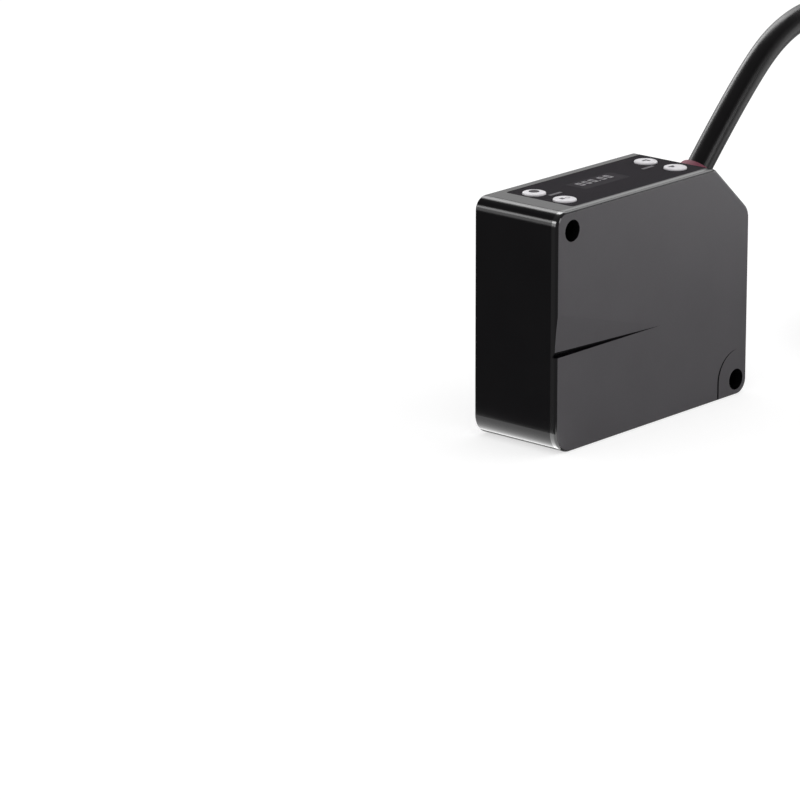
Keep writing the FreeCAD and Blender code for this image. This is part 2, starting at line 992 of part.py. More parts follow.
# Optical chassis, emitter and receiver
def optical_chassis():
    plate = box(
        front_x + chassis_front_inset,
        rear_x - chassis_rear_inset,
        chassis_y0,
        chassis_y1,
        chassis_low,
        chassis_high,
    )
    emitter = box(
        emitter_x - emitter_block_half,
        emitter_x + emitter_block_half,
        block_near_y,
        chassis_y1,
        chassis_low,
        emitter_block_high,
    )
    cell = receiver_rod(cell_radius, cell_start, cell_end + 0.5)
    outer = chamber_half + chamber_wall
    chamber = receiver_box(cell_end, chamber_end, outer, -chamber_half_y - chamber_wall, chassis_y1)
    flange = receiver_box(
        flange_start, chamber_end, flange_half, -chamber_half_y - chamber_wall, chassis_y1
    )
    standoffs = [
        rod_y(board_standoff_radius, p, main_board_y1, chassis_y0 + 0.5) for p in board_standoff_places
    ]
    body = plate.fuse([emitter, cell, chamber, flange] + standoffs)
    cuts = [
        rod_z(barrel_radius + barrel_clearance, (emitter_x, 0), chassis_low - 1, emitter_block_high + 1),
        rod(
            set_screw_radius,
            V(emitter_x, block_near_y - 1, set_screw_height),
            V(emitter_x, 0, set_screw_height),
        ),
        receiver_rod(receiver_lens_radius + lens_clearance, cell_start - 1, receiver_lens_seat),
        receiver_rod(receiver_opening_radius, cell_start, cell_end + 1),
        receiver_box(cell_end, chamber_end + 1, chamber_half, -chamber_half_y, chamber_half_y),
    ]
    cuts += [
        rod_y(chassis_screw_radius, p, chassis_y0 - 1, chassis_y1 + 1) for p in chassis_screw_places
    ]
    cuts += [
        rod_y(main_screw_radius, p, main_board_y1 - 1, main_board_y1 + main_screw_depth + 0.2)
        for p in board_standoff_places
    ]
    cuts += [
        receiver_rod(sensor_screw_radius, chamber_end - sensor_screw_depth, chamber_end + 1, side)
        for side in (-sensor_screw_offset, sensor_screw_offset)
    ]
    return body.cut(cuts).removeSplitter()


def chassis_screws():
    screws = []
    for place in chassis_screw_places:
        shank = rod_y(chassis_screw_radius, place, chassis_y0 - 0.1, chassis_y1 + chassis_screw_depth)
        head = rod_y(chassis_screw_head_radius, place, chassis_y0 - chassis_screw_head_height, chassis_y0)
        screws.append(shank.fuse(head))
    return screws


def laser_barrel():
    body = rod_z(barrel_radius, (emitter_x, 0), barrel_low, barrel_high)
    diode_seat = barrel_high - diode_flange
    cuts = [
        rod_z(collimator_radius + collimator_clearance, (emitter_x, 0), barrel_low - 1, collimator_seat),
        rod_z(beam_bore, (emitter_x, 0), barrel_low, barrel_high + 1),
        rod_z(diode_flange_radius + collimator_clearance, (emitter_x, 0), diode_seat, barrel_high + 1),
    ]
    return body.cut(cuts)


def laser_diode():
    seat = barrel_high - diode_flange
    flange = rod_z(diode_flange_radius, (emitter_x, 0), seat, barrel_high)
    cap = rod_z(diode_cap_radius, (emitter_x, 0), seat - diode_cap_height, seat + 0.2)
    pins = []
    for i in range(3):
        turn = math.radians(90 + 120 * i)
        place = (emitter_x + diode_pin_circle * math.cos(turn), diode_pin_circle * math.sin(turn))
        pins.append(
            rod_z(diode_pin_radius, place, barrel_high - 0.2, laser_board_low + board_thickness + 0.4)
        )
    return flange.fuse([cap] + pins)


def domed_lens(radius, edge, bulge, origin, axis):
    """A lens with one flat face at the origin and a dome on its far side along the axis."""
    sphere = (radius * radius + bulge * bulge) / (2 * bulge)
    rim = rod(radius, origin, origin + axis * (edge + bulge))
    ball = Part.makeSphere(sphere, origin + axis * (edge + bulge - sphere))
    return rim.common(ball)


def collimating_lens():
    flat = V(emitter_x, 0, collimator_seat)
    return domed_lens(
        collimator_radius, collimator_thickness - collimator_bulge, collimator_bulge, flat, V(0, 0, -1)
    )


def lens_retainer():
    top = collimator_seat - (collimator_thickness - collimator_bulge) - lens_seat_gap
    ring = rod_z(collimator_radius, (emitter_x, 0), top - retainer_thickness, top)
    dome_clear = rod_z(retainer_bore, (emitter_x, 0), top - retainer_thickness - 1, top + 1)
    dome = domed_lens(
        collimator_radius,
        collimator_thickness - collimator_bulge,
        collimator_bulge,
        V(emitter_x, 0, collimator_seat - lens_seat_gap),
        V(0, 0, -1),
    )
    return ring.cut([dome_clear, dome])


def laser_set_screw():
    inner = -barrel_radius
    return rod(
        set_screw_radius,
        V(emitter_x, inner - set_screw_length, set_screw_height),
        V(emitter_x, inner, set_screw_height),
    ).cut(rod_z(barrel_radius, (emitter_x, 0), barrel_low, barrel_high))


def laser_board():
    board = box(
        emitter_x - laser_board_half,
        emitter_x + laser_board_half,
        main_board_y1,
        chassis_y0 - laser_board_gap,
        laser_board_low,
        laser_board_low + board_thickness,
    )
    holes = []
    for i in range(3):
        turn = math.radians(90 + 120 * i)
        place = (emitter_x + diode_pin_circle * math.cos(turn), diode_pin_circle * math.sin(turn))
        holes.append(
            rod_z(
                diode_pin_radius + diode_pin_clearance,
                place,
                laser_board_low - 1,
                laser_board_low + board_thickness + 1,
            )
        )
    return board.cut(holes)


def receiving_lens():
    return domed_lens(
        receiver_lens_radius,
        receiver_lens_edge,
        receiver_lens_bulge,
        on_receiver(receiver_lens_seat),
        axis_up * -1,
    )


def receiving_lens_ring():
    top = receiver_lens_seat - receiver_lens_edge - lens_seat_gap
    low = top - receiver_ring_thickness
    ring = receiver_rod(receiver_lens_radius, low, top)
    dome = domed_lens(
        receiver_lens_radius,
        receiver_lens_edge,
        receiver_lens_bulge,
        on_receiver(receiver_lens_seat - lens_seat_gap),
        axis_up * -1,
    )
    return ring.cut([receiver_rod(receiver_opening_radius, low - 1, top + 1), dome])


def sensor_board():
    board = receiver_box(
        chamber_end,
        chamber_end + board_thickness,
        sensor_board_half,
        -sensor_board_near_y,
        chassis_y0 - sensor_board_gap,
    )
    holes = [
        receiver_rod(sensor_screw_radius, chamber_end - 1, chamber_end + board_thickness + 1, side)
        for side in (-sensor_screw_offset, sensor_screw_offset)
    ]
    return board.cut(holes)


def sensor_board_screws():
    screws = []
    top = chamber_end + board_thickness
    for side in (-sensor_screw_offset, sensor_screw_offset):
        shank = receiver_rod(sensor_screw_radius, chamber_end - sensor_screw_depth, top + 0.1, side)
        head = receiver_rod(sensor_screw_head_radius, top, top + sensor_screw_head_height, side)
        screws.append(shank.fuse(head))
    return screws


def image_sensor():
    return receiver_box(
        chamber_end - image_chip_height, chamber_end, image_chip_half, -image_chip_half_y, image_chip_half_y
    )


def image_sensor_glass():
    top = chamber_end - image_chip_height
    margin = 0.5
    return receiver_box(
        top - image_glass_height,
        top,
        image_chip_half - margin,
        -image_chip_half_y + margin,
        image_chip_half_y - margin,
    )


def sensor_plug():
    low = chamber_end + board_thickness
    return receiver_box(
        low, low + sensor_plug_height, sensor_plug_half, main_board_y1, main_board_y1 + sensor_plug_depth
    )


# Windows
def emission_window():
    return rod_z(emission_glass_radius, (emitter_x, 0), window_recess, window_pocket - window_seal)


def receiving_window():
    return receiving_plate(0, window_recess, window_pocket - window_seal)


def window_seals():
    low = window_pocket - window_seal
    disc = rod_z(emission_glass_radius, (emitter_x, 0), low, window_pocket)
    ring = disc.cut(rod_z(emission_open_radius, (emitter_x, 0), low - 1, window_pocket + 1))
    frame = receiving_plate(0, low, window_pocket).cut(
        receiving_plate(receiving_shelf, low - 1, window_pocket + 1)
    )
    return [ring, frame]


# Gland, clamp and the cable inside
def cable_gland():
    profile = [
        (cable_radius + gland_bore_clearance, -rim_wall - gland_flange_height),
        (gland_flange_radius, -rim_wall - gland_flange_height),
        (gland_flange_radius, -rim_wall),
        (gland_neck_radius, -rim_wall),
        (gland_neck_radius, 0),
        (gland_collar_radius, 0),
        (gland_collar_radius, gland_collar_height),
        (gland_top_radius, gland_height),
        (cable_radius + gland_bore_clearance, gland_height),
    ]
    body = turned(profile, gland_root, gland_normal)

    def on_collar(edge):
        out = [(v.Point - gland_root).dot(gland_normal) for v in edge.Vertexes]
        wide = [
            ((v.Point - gland_root) - gland_normal * (v.Point - gland_root).dot(gland_normal)).Length
            for v in edge.Vertexes
        ]
        return min(out) > gland_collar_height - 1e-3 and min(wide) > gland_top_radius - 1e-3

    return round_edges(body, gland_edge_radius, on_collar)


def cable_clamp():
    start = gland_root - gland_normal * (rim_wall + gland_flange_height + clamp_gap)
    end = start - gland_normal * clamp_length
    return rod(clamp_radius, start, end).cut(rod(cable_radius, start + gland_normal, end - gland_normal))


def cable_jacket_end():
    return rod(
        cable_radius,
        gland_root + gland_normal * gland_height,
        gland_root - gland_normal * jacket_inside,
    )


def lead_wires():
    """Coloured leads from the end of the jacket down into the plug on the main board."""
    wires = []
    end_z = wire_plug_centre[1] + wire_plug_height / 2
    pitch = wire_plug_length / (wire_count + 1)
    start_at = gland_root - gland_normal * (jacket_inside + wire_gap)
    up_chamfer = V(-gland_normal.z, 0, gland_normal.x)
    for i in range(wire_count):
        turn = math.radians(90 + 360 * i / wire_count)
        offset = up_chamfer * (wire_circle * math.sin(turn)) + V(0, wire_circle * math.cos(turn), 0)
        start = start_at + offset
        end = V(
            wire_plug_centre[0] - wire_plug_length / 2 + pitch * (wire_count - i),
            main_board_y1 + wire_plug_width / 2,
            end_z,
        )
        out = start - gland_normal * wire_run
        corner = end + V(0, 0, wire_drop)
        wires.append(tube([start, out, corner, end], wire_radius, wire_bend_radius))
    return wires


# Free cable and connector
def arc_route(points, radius=None):
    """Straight runs joined by tangent arcs: each arc as large as its two runs allow."""
    edges = []
    at = points[0]
    radii = []
    for i in range(1, len(points) - 1):
        corner = points[i]
        back = points[i - 1] - corner
        ahead = points[i + 1] - corner
        half_turn = (math.pi - back.getAngle(ahead)) / 2
        largest = 0.45 * min(back.Length, ahead.Length) / math.tan(half_turn)
        bend = min(radius, largest) if radius else largest
        reach = bend * math.tan(half_turn)
        radii.append(bend)
        back.normalize()
        ahead.normalize()
        start = corner + back * reach
        end = corner + ahead * reach
        bisector = (back + ahead).normalize()
        centre = corner + bisector * (bend / math.cos(half_turn))
        middle = centre - bisector * bend
        edges.append(Part.LineSegment(at, start).toShape())
        edges.append(Part.Arc(start, middle, end).toShape())
        at = end
    edges.append(Part.LineSegment(at, points[-1]).toShape())
    return Part.Wire(edges), radii


def tube(points, section_radius, bend_radius=None):
    route, radii = arc_route(points, bend_radius)
    way = points[1] - points[0]
    circle = Part.Wire(Part.makeCircle(section_radius, points[0], way))
    solid = route.makePipeShell([circle], True, True)
    if solid.Volume < 0:
        solid.reverse()
    if bend_radius is None:
        ideal = math.pi * section_radius**2 * route.Length
        print(
            "cable stretch: length",
            round(route.Length, 1),
            "radii",
            [round(r, 1) for r in radii],
            "volume over section times length",
            round(solid.Volume / ideal, 4),
        )
    return solid


def cable_fall():
    exit_point = gland_root + gland_normal * gland_height
    first_point = exit_point + gland_normal * first_run
    return tube([exit_point, first_point] + [V(*p) for p in fall_route], cable_radius)


def cable_coil():
    """The outer shape of the two turns that lie on each other."""
    floor = (coil_centre_x, coil_centre_y)
    outer = rod_z(coil_mean_radius + cable_radius, floor, 0, coil_top)
    inner = rod_z(coil_mean_radius - cable_radius, floor, -1, coil_top + 1)
    ring = outer.cut(inner)
    circles = [e for e in ring.Edges if isinstance(e.Curve, Part.Circle)]
    return ring.makeFillet(coil_edge_radius, circles)


def cable_tail():
    points = [
        V(coil_centre_x + tail_lead_in, plug_axis_y, cable_radius),
        V(coil_centre_x - tail_low_run, plug_axis_y, cable_radius),
        V(coil_centre_x - tail_rise_run, plug_axis_y, plug_axis_z),
        V(plug_end_x, plug_axis_y, plug_axis_z),
    ]
    return tube(points, cable_radius)


def on_plug(profile):
    """A solid turned about the connector's axis, its distances measured towards its pins."""
    return turned(profile, V(plug_end_x, plug_axis_y, plug_axis_z), V(-1, 0, 0))


def connector_grip():
    hub_end = grip_length + hub_length
    profile = [
        (0, 0),
        (grip_tail_radius, 0),
        (grip_tail_radius + 0.8, grip_tail_length),
        (grip_radius, grip_tail_length + 1.6),
        (grip_radius, grip_length - 0.6),
        (grip_radius - 0.6, grip_length),
        (hub_radius, grip_length),
        (hub_radius, hub_end - hub_lip_length),
        (hub_lip_radius, hub_end - hub_lip_length),
        (hub_lip_radius, hub_end),
        (insert_radius, hub_end),
        (insert_radius, hub_end - 1.5),
        (0, hub_end - 1.5),
    ]
    body = on_plug(profile)
    grooves = []
    for i in range(grip_ring_count):
        low = grip_tail_length + 2.6 + i * grip_ring_pitch
        high = low + grip_ring_width
        inner = grip_radius - grip_ring_depth
        outer = grip_radius + 1
        grooves.append(on_plug([(inner, low), (outer, low), (outer, high), (inner, high)]))
    return body.cut(grooves)


def coupling_screw():
    start = grip_length + nut_end_gap
    knurl_end = start + nut_grip_length
    end = start + nut_length
    bore = hub_radius + nut_running_gap
    land_end = grip_length + nut_land
    profile = [
        (bore, start),
        (nut_radius - 0.4, start),
        (nut_radius, start + 0.4),
        (nut_radius, knurl_end - 0.4),
        (nut_radius - 0.4, knurl_end),
        (nut_thread_radius, knurl_end),
        (nut_thread_radius, end - 0.5),
        (nut_thread_radius - 0.5, end),
        (nut_bore_radius, end),
        (nut_bore_radius, land_end),
        (bore, land_end),
    ]
    body = on_plug(profile)
    centre = V(0, plug_axis_y, plug_axis_z)
    flutes = []
    for i in range(nut_flutes):
        turn = 2 * math.pi * (i + 0.5) / nut_flutes
        place = centre + V(0, math.cos(turn), math.sin(turn)) * (nut_radius + nut_flute_radius / 3)
        x0 = plug_end_x - start - 0.8
        x1 = plug_end_x - knurl_end + 0.8
        flutes.append(rod(nut_flute_radius, V(x0, place.y, place.z), V(x1, place.y, place.z)))
    return body.cut(flutes)


def connector_insert():
    start = grip_length + hub_length - 1.5
    end = start + insert_length
    profile = [(0, start), (insert_radius, start), (insert_radius, end - 0.4)]
    profile += [(insert_radius - 0.4, end), (0, end)]
    body = on_plug(profile)
    holes = [rod(pin_radius, *pin_ends(i)) for i in range(pin_count)]
    return body.cut(holes)


def pin_ends(i):
    turn = 2 * math.pi * (i + 0.5) / pin_count
    y = plug_axis_y + pin_circle * math.cos(turn)
    z = plug_axis_z + pin_circle * math.sin(turn)
    face = grip_length + hub_length - 1.5 + insert_length - pin_proud
    x0 = plug_end_x - face + pin_root
    x1 = plug_end_x - face - pin_proud + 1.0
    return V(x0, y, z), V(x1, y, z)


def connector_pins():
    return [rod(pin_radius, *pin_ends(i)) for i in range(pin_count)]


def main():
    os.makedirs("parts", exist_ok=True)
    export("housing", housing())
    export("side_cover", side_cover())
    export("cover_seal", cover_seal())
    export("cover_screws", cover_screws())
    export("display_panel", display_panel())
    export("display_window", display_window())
    export("display_module", display_module())
    export("light_pipes", light_pipes())
    export("indicator_leds", indicator_leds())
    for name, place in button_places.items():
        export(name, button(place))
    export("tact_switches", tact_switches())
    export("display_board", display_board())
    export("display_board_screws", display_board_screws())
    export("main_board", main_board())
    export("main_board_screws", main_board_screws())
    export("processor_chip", processor_chip())
    export("capacitors", capacitors())
    export("board_header", board_header())
    export("wire_plug", wire_plug())
    export("optical_chassis", optical_chassis())
    export("chassis_screws", chassis_screws())
    export("laser_barrel", laser_barrel())
    export("laser_diode", laser_diode())
    export("collimating_lens", collimating_lens())
    export("lens_retainer", lens_retainer())
    export("laser_set_screw", laser_set_screw())
    export("laser_board", laser_board())
    export("receiving_lens", receiving_lens())
    export("receiving_lens_ring", receiving_lens_ring())
    export("sensor_board", sensor_board())
    export("sensor_board_screws", sensor_board_screws())
    export("image_sensor", image_sensor())
    export("image_sensor_glass", image_sensor_glass())
    export("sensor_plug", sensor_plug())
    export("emission_window", emission_window())
    export("receiving_window", receiving_window())
    export("window_seals", window_seals())
    export("cable_gland", cable_gland())
    export("cable_clamp", cable_clamp())
    export("cable_jacket_end", cable_jacket_end())
    export("lead_wires", lead_wires())
    export("cable_fall", cable_fall())
    export("cable_coil", cable_coil())
    export("cable_tail", cable_tail())
    export("connector_grip", connector_grip())
    export("coupling_screw", coupling_screw())
    export("connector_insert", connector_insert())
    export("connector_pins", connector_pins())


main()
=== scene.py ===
"""Looks of a compact laser displacement sensor that stands on its optical face.

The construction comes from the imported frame. This script gives each of its pieces a real
finish, lays the free lead as one smooth cord, and adds the display's digits, the marks on the
buttons, and the thread and the contacts of the plug. +Z is up, X runs from the narrow glossy
face to the rear, and Y from the side cover to the far wall. The frame is in metres, and the
sizes held here are in millimetres unless a name or a comment says otherwise.
"""

import logging
import math
from dataclasses import dataclass
from enum import Enum
from typing import Any

import bpy
import numpy as np
from mathutils import Matrix, Vector

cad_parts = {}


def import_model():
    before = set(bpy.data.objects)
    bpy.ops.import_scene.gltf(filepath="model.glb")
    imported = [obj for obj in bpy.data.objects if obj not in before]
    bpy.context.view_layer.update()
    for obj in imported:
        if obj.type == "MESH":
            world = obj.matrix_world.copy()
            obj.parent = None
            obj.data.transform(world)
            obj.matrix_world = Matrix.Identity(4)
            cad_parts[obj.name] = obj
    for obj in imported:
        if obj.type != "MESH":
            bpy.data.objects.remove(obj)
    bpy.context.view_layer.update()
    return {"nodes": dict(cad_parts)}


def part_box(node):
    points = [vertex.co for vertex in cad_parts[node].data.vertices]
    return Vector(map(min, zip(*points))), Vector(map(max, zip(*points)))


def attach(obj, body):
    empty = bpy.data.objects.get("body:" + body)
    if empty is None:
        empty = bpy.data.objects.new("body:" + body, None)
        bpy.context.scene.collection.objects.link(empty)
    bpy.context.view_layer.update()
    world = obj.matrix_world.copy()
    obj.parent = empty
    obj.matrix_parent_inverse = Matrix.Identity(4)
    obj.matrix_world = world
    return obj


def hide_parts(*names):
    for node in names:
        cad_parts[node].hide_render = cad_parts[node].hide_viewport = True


LOG = logging.getLogger("displacement_sensor")
MM = 0.001
CASE = "case"
COUPLING = "coupling"


def linear(code: str) -> tuple[float, float, float, float]:
    """Turn an sRGB hex colour into linear light.

    Args:
        code: Six hex digits with a leading hash.

    Returns:
        Red, green, blue and an alpha of 1, in linear light.
    """
    parts = [int(code[i : i + 2], 16) / 255 for i in (1, 3, 5)]
    light = [c / 12.92 if c <= 0.04045 else ((c + 0.055) / 1.055) ** 2.4 for c in parts]
    return (light[0], light[1], light[2], 1.0)


def mm(*values: float) -> tuple[float, ...]:
    """Millimetres to metres."""
    return tuple(v * MM for v in values)


def add_node(
    tree: bpy.types.NodeTree,
    kind: str,
    settings: dict[str, Any] | None = None,
    inputs: dict[Any, Any] | None = None,
    links: dict[Any, bpy.types.NodeSocket] | None = None,
) -> bpy.types.Node:
    """Add a shader node with its settings, input values and incoming links.

    Args:
        tree: The node tree of the material.
        kind: Blender's type name of the node.
        settings: Attributes of the node and their values.
        inputs: Input sockets by name or number, and their values.
        links: Input sockets by name or number, and the outputs that feed them.

    Returns:
        The new node.
    """
    node = tree.nodes.new(kind)
    for name, value in (settings or {}).items():
        setattr(node, name, value)
    for name, value in (inputs or {}).items():
        node.inputs[name].default_value = value
    for name, output in (links or {}).items():
        tree.links.new(output, node.inputs[name])
    return node


class Grain(Enum):
    """How the surface of a material was made, which sets the pattern that it carries."""

    MOULDED = "fine spark-eroded mould grain"
    POLISHED = "polished mould with a few faint waves"
    BRUSHED = "fine lines along one way"
    TURNED = "fine rings around the turned axis"
    LAMINATE = "woven glass cloth under a coat of lacquer"


# Octaves and falloff of the noise that draws a grain, and of the one that draws the blotches.
GRAIN_DETAIL = {Grain.POLISHED: 2.0, Grain.BRUSHED: 6.0, Grain.TURNED: 6.0}
GRAIN_FALLOFF = 0.55
BLOTCH_DETAIL = 3.0
BLOTCH_FALLOFF = 0.5
# How far the grain takes part in a surface's tone, beside the broad blotches.
GRAIN_SHARE = 0.35
# The stretch of that tone over which the colour changes, and the one for the roughness.
COLOUR_REACH = (0.3, 0.7)
ROUGH_REACH = (0.25, 0.75)
# No surface is smoother than this.
LEAST_ROUGHNESS = 0.02
# The side coat fades in between these y parts of a face's normal, where the edge turns away; past
# it the dark bare colour is also painted shade in the cover's cuts and holes.
COAT_AND_SHADE_FADE = (-0.955, -0.965)


@dataclass(frozen=True)
class Finish:
    """One real material and how its surface was made.

    Its tone wanders between the two colours in blotches of about blotch_mm, with a grain of
    grain_mm that also roughens it and stands up by relief_mm. Real mould grain is finer than
    a tenth of a millimetre, so grain_mm is as coarse as it needs to show in the picture.
    Where bare names a colour, the finish is a coat on the faces towards -Y, and that colour shows
    on every other face: as bare plastic at the edges, and as painted shade in cuts and holes.
    """

    name: str
    colour: str
    second: str
    roughness: float
    rough_spread: float = 0.06
    metallic: float = 0.0
    ior: float = 1.5
    coat: float = 0.0
    coat_roughness: float = 0.1
    transmission: float = 0.0
    grain: Grain = Grain.MOULDED
    grain_mm: float = 0.35
    relief_mm: float = 0.004
    stretch: tuple[float, float, float] = (1.0, 1.0, 1.0)
    blotch_mm: float = 9.0
    specular: float = 0.5
    bare: str = ""
    bare_roughness: float = 0.16

    def material(self) -> bpy.types.Material:
        """Build the node material: blotchy tone, grain in colour and roughness, and relief.

        Returns:
            The material, made once and shared by all pieces of this finish.
        """
        found = bpy.data.materials.get(self.name)
        if found:
            return found
        made = bpy.data.materials.new(self.name)
        made.use_nodes = True
        tree = made.node_tree
        shader = tree.nodes["Principled BSDF"]
        shader.inputs["Metallic"].default_value = self.metallic
        shader.inputs["IOR"].default_value = self.ior
        shader.inputs["Specular IOR Level"].default_value = self.specular
        shader.inputs["Coat Weight"].default_value = self.coat
        shader.inputs["Coat Roughness"].default_value = self.coat_roughness
        shader.inputs["Transmission Weight"].default_value = self.transmission
        place = add_node(tree, "ShaderNodeTexCoord")
        scaled = add_node(
            tree,
            "ShaderNodeMapping",
            inputs={"Scale": self.stretch},
            links={"Vector": place.outputs["Object"]},
        )
        fine = self._fine(tree, scaled.outputs["Vector"])
        broad = add_node(
            tree,
            "ShaderNodeTexNoise",
            inputs={
                "Scale": 1 / (self.blotch_mm * MM),
                "Detail": BLOTCH_DETAIL,
                "Roughness": BLOTCH_FALLOFF,
            },
            links={"Vector": place.outputs["Object"]},
        )
        tone = add_node(
            tree,
            "ShaderNodeMix",
            settings={"data_type": "FLOAT"},
            inputs={0: GRAIN_SHARE},
            links={2: broad.outputs["Fac"], 3: fine},
        )
        spread = add_node(
            tree,
            "ShaderNodeMapRange",
            inputs={"From Min": COLOUR_REACH[0], "From Max": COLOUR_REACH[1]},
            links={"Value": tone.outputs[0]},
        )
        colour = add_node(
            tree,
            "ShaderNodeMix",
            settings={"data_type": "RGBA"},
            inputs={6: linear(self.colour), 7: linear(self.second)},
            links={0: spread.outputs["Result"]},
        )
        rough = add_node(
            tree,
            "ShaderNodeMapRange",
            inputs={
                "From Min": ROUGH_REACH[0],
                "From Max": ROUGH_REACH[1],
                "To Min": max(self.roughness - self.rough_spread, LEAST_ROUGHNESS),
                "To Max": self.roughness + self.rough_spread,
            },
            links={"Value": tone.outputs[0]},
        )
        relief = add_node(
            tree,
            "ShaderNodeBump",
            inputs={"Strength": 1.0, "Distance": self.relief_mm * MM},
            links={"Height": fine},
        )
        tone_out, rough_out = colour.outputs[2], rough.outputs["Result"]
        if self.bare:
            tone_out, rough_out = self._bare_edges_and_painted_shade(tree, tone_out, rough_out)
        tree.links.new(tone_out, shader.inputs["Base Color"])
        tree.links.new(rough_out, shader.inputs["Roughness"])
        tree.links.new(relief.outputs["Normal"], shader.inputs["Normal"])
        return made

    def _bare_edges_and_painted_shade(
        self,
        tree: bpy.types.NodeTree,
        tone: bpy.types.NodeSocket,
        rough: bpy.types.NodeSocket,
    ) -> tuple[bpy.types.NodeSocket, bpy.types.NodeSocket]:
        """Keep the coat on the faces towards -Y and give every other face the bare colour: bare
        plastic at the edges, painted shade in cuts and holes.

        Args:
            tree: The node tree of the material.
            tone: The coat's colour.
            rough: The coat's roughness.

        Returns:
            The colour and the roughness of coat, bare plastic and painted shade together.
        """
        surface = add_node(tree, "ShaderNodeNewGeometry")
        split = add_node(
            tree, "ShaderNodeSeparateXYZ", links={0: surface.outputs["True Normal"]}
        )
        coated = add_node(
            tree,
            "ShaderNodeMapRange",
            inputs={"From Min": COAT_AND_SHADE_FADE[0], "From Max": COAT_AND_SHADE_FADE[1]},
            links={"Value": split.outputs["Y"]},
        )
        both = add_node(
            tree,
            "ShaderNodeMix",
            settings={"data_type": "RGBA"},
            inputs={6: linear(self.bare)},
            links={0: coated.outputs["Result"], 7: tone},
        )
        rough_both = add_node(
            tree,
            "ShaderNodeMix",
            settings={"data_type": "FLOAT"},
            inputs={2: self.bare_roughness},
            links={0: coated.outputs["Result"], 3: rough},
        )
        return both.outputs[2], rough_both.outputs[0]

    def _fine(self, tree: bpy.types.NodeTree, at: bpy.types.NodeSocket) -> bpy.types.NodeSocket:
        """Add the fine pattern that the surface's making leaves.

        Args:
            tree: The node tree of the material.
            at: The position that the pattern follows.

        Returns:
            The pattern's height from 0 to 1.
        """
        scale = 1 / (self.grain_mm * MM)
        if self.grain is Grain.LAMINATE:
            weave = add_node(
                tree,
                "ShaderNodeTexChecker",
                inputs={"Scale": scale},
                links={"Vector": at},
            )
            return weave.outputs["Fac"]
        if self.grain is Grain.MOULDED:
            pits = add_node(
                tree,
                "ShaderNodeTexVoronoi",
                settings={"feature": "SMOOTH_F1"},
                inputs={"Scale": scale},
                links={"Vector": at},
            )
            return pits.outputs["Distance"]
        lines = add_node(
            tree,
            "ShaderNodeTexNoise",
            inputs={
                "Scale": scale,
                "Detail": GRAIN_DETAIL[self.grain],
                "Roughness": GRAIN_FALLOFF,
            },
            links={"Vector": at},
        )
        return lines.outputs["Fac"]


# Glass-filled ABS from a polished mould: near black, with clear reflections and faint waves.
HOUSING_ABS = Finish(
    "polished_black_abs", "#060507", "#09080a", 0.14, 0.03, specular=0.042,
    grain=Grain.POLISHED, grain_mm=7.0, relief_mm=0.003, blotch_mm=20.0,
)
# The same black ABS under an even dark grey satin coat, which covers only the flat side. Its
# near-black on faces that turn away is bare plastic at the edges and painted shade in the wedge
# cut, on its ledge and in the holes.
COVER_COAT_AND_SHADE = Finish(
    "grey_satin_coat_with_black_edges_and_painted_shade", "#403e41", "#454346", 0.5, 0.05, specular=0.12,
    grain_mm=0.28, relief_mm=0.003, blotch_mm=14.0, bare="#0c0b0d", bare_roughness=0.12,
)
# Polycarbonate panel film: charcoal and matte.
PANEL_FILM = Finish(
    "matte_charcoal_polycarbonate", "#2f2d30", "#323033", 0.7, 0.05, specular=0.001,
    grain_mm=0.22, relief_mm=0.003, blotch_mm=8.0,
)
# Smoked acrylic: as dark as the panel, and only its gloss sets it off.
WINDOW_ACRYLIC = Finish(
    "smoked_acrylic", "#2d2b2e", "#302e31", 0.5, 0.02, specular=0.002,
    grain=Grain.POLISHED, grain_mm=5.0, relief_mm=0.001, blotch_mm=12.0,
)
# Black epoxy of the seven-segment module: an even dark ground behind the window.
DISPLAY_EPOXY = Finish("black_display_epoxy", "#141414", "#1b1b1b", 0.4)
# White ABS caps with a soft sheen.
BUTTON_ABS = Finish(
    "white_satin_abs", "#d3d1d4", "#cccace", 0.42, 0.05, specular=0.03,
    grain_mm=0.3, relief_mm=0.002,
)
# Frosted smoke-grey polycarbonate rods that carry the lamps' light up to the panel.
PIPE_FROST = Finish(
    "frosted_polycarbonate", "#59575a", "#626063", 0.4, 0.05, specular=0.01,
)
# Milky epoxy lamp bodies: pale yellow and half clear.
LAMP_EPOXY = Finish("milky_lamp_epoxy", "#e9e2a8", "#f2ecc4", 0.3, transmission=0.3)
# Nitrile rubber cord: dull black without a highlight.
SEAL_NITRILE = Finish("black_nitrile_rubber", "#1a1a1a", "#232323", 0.75)
# Zinc-plated steel with the marks of tumbling: cool grey metal of uneven gloss.
SCREW_ZINC = Finish(
    "zinc_plated_steel", "#b9bbbd", "#9c9ea1", 0.32, 0.1, metallic=1.0,
    grain=Grain.BRUSHED, grain_mm=0.4, relief_mm=0.004, blotch_mm=2.0,
)
# Glass-cloth laminate under green solder lacquer: a faint weave below a wet gloss.
BOARD_LAMINATE = Finish(
    "green_lacquered_laminate", "#0e5a2c", "#126634", 0.36, 0.06, coat=0.3,
    grain=Grain.LAMINATE, grain_mm=0.5, relief_mm=0.004,
)
# Black moulding compound of chips and switches: matte and slightly grainy.
CHIP_COMPOUND = Finish("black_moulding_compound", "#1e1e20", "#28282a", 0.58, grain_mm=0.2)
# Cream polyamide of plugs and headers: warm and half matte.
HEADER_NYLON = Finish("cream_polyamide", "#d8ccb0", "#e0d6be", 0.5, grain_mm=0.3)
# Drawn aluminium cans: bright metal with fine drawn lines.
CAN_ALUMINIUM = Finish(
    "drawn_aluminium", "#c4c5c6", "#aeb0b2", 0.3, 0.08, metallic=1.0,
    grain=Grain.BRUSHED, grain_mm=0.3, stretch=(1.0, 0.1, 1.0),
)
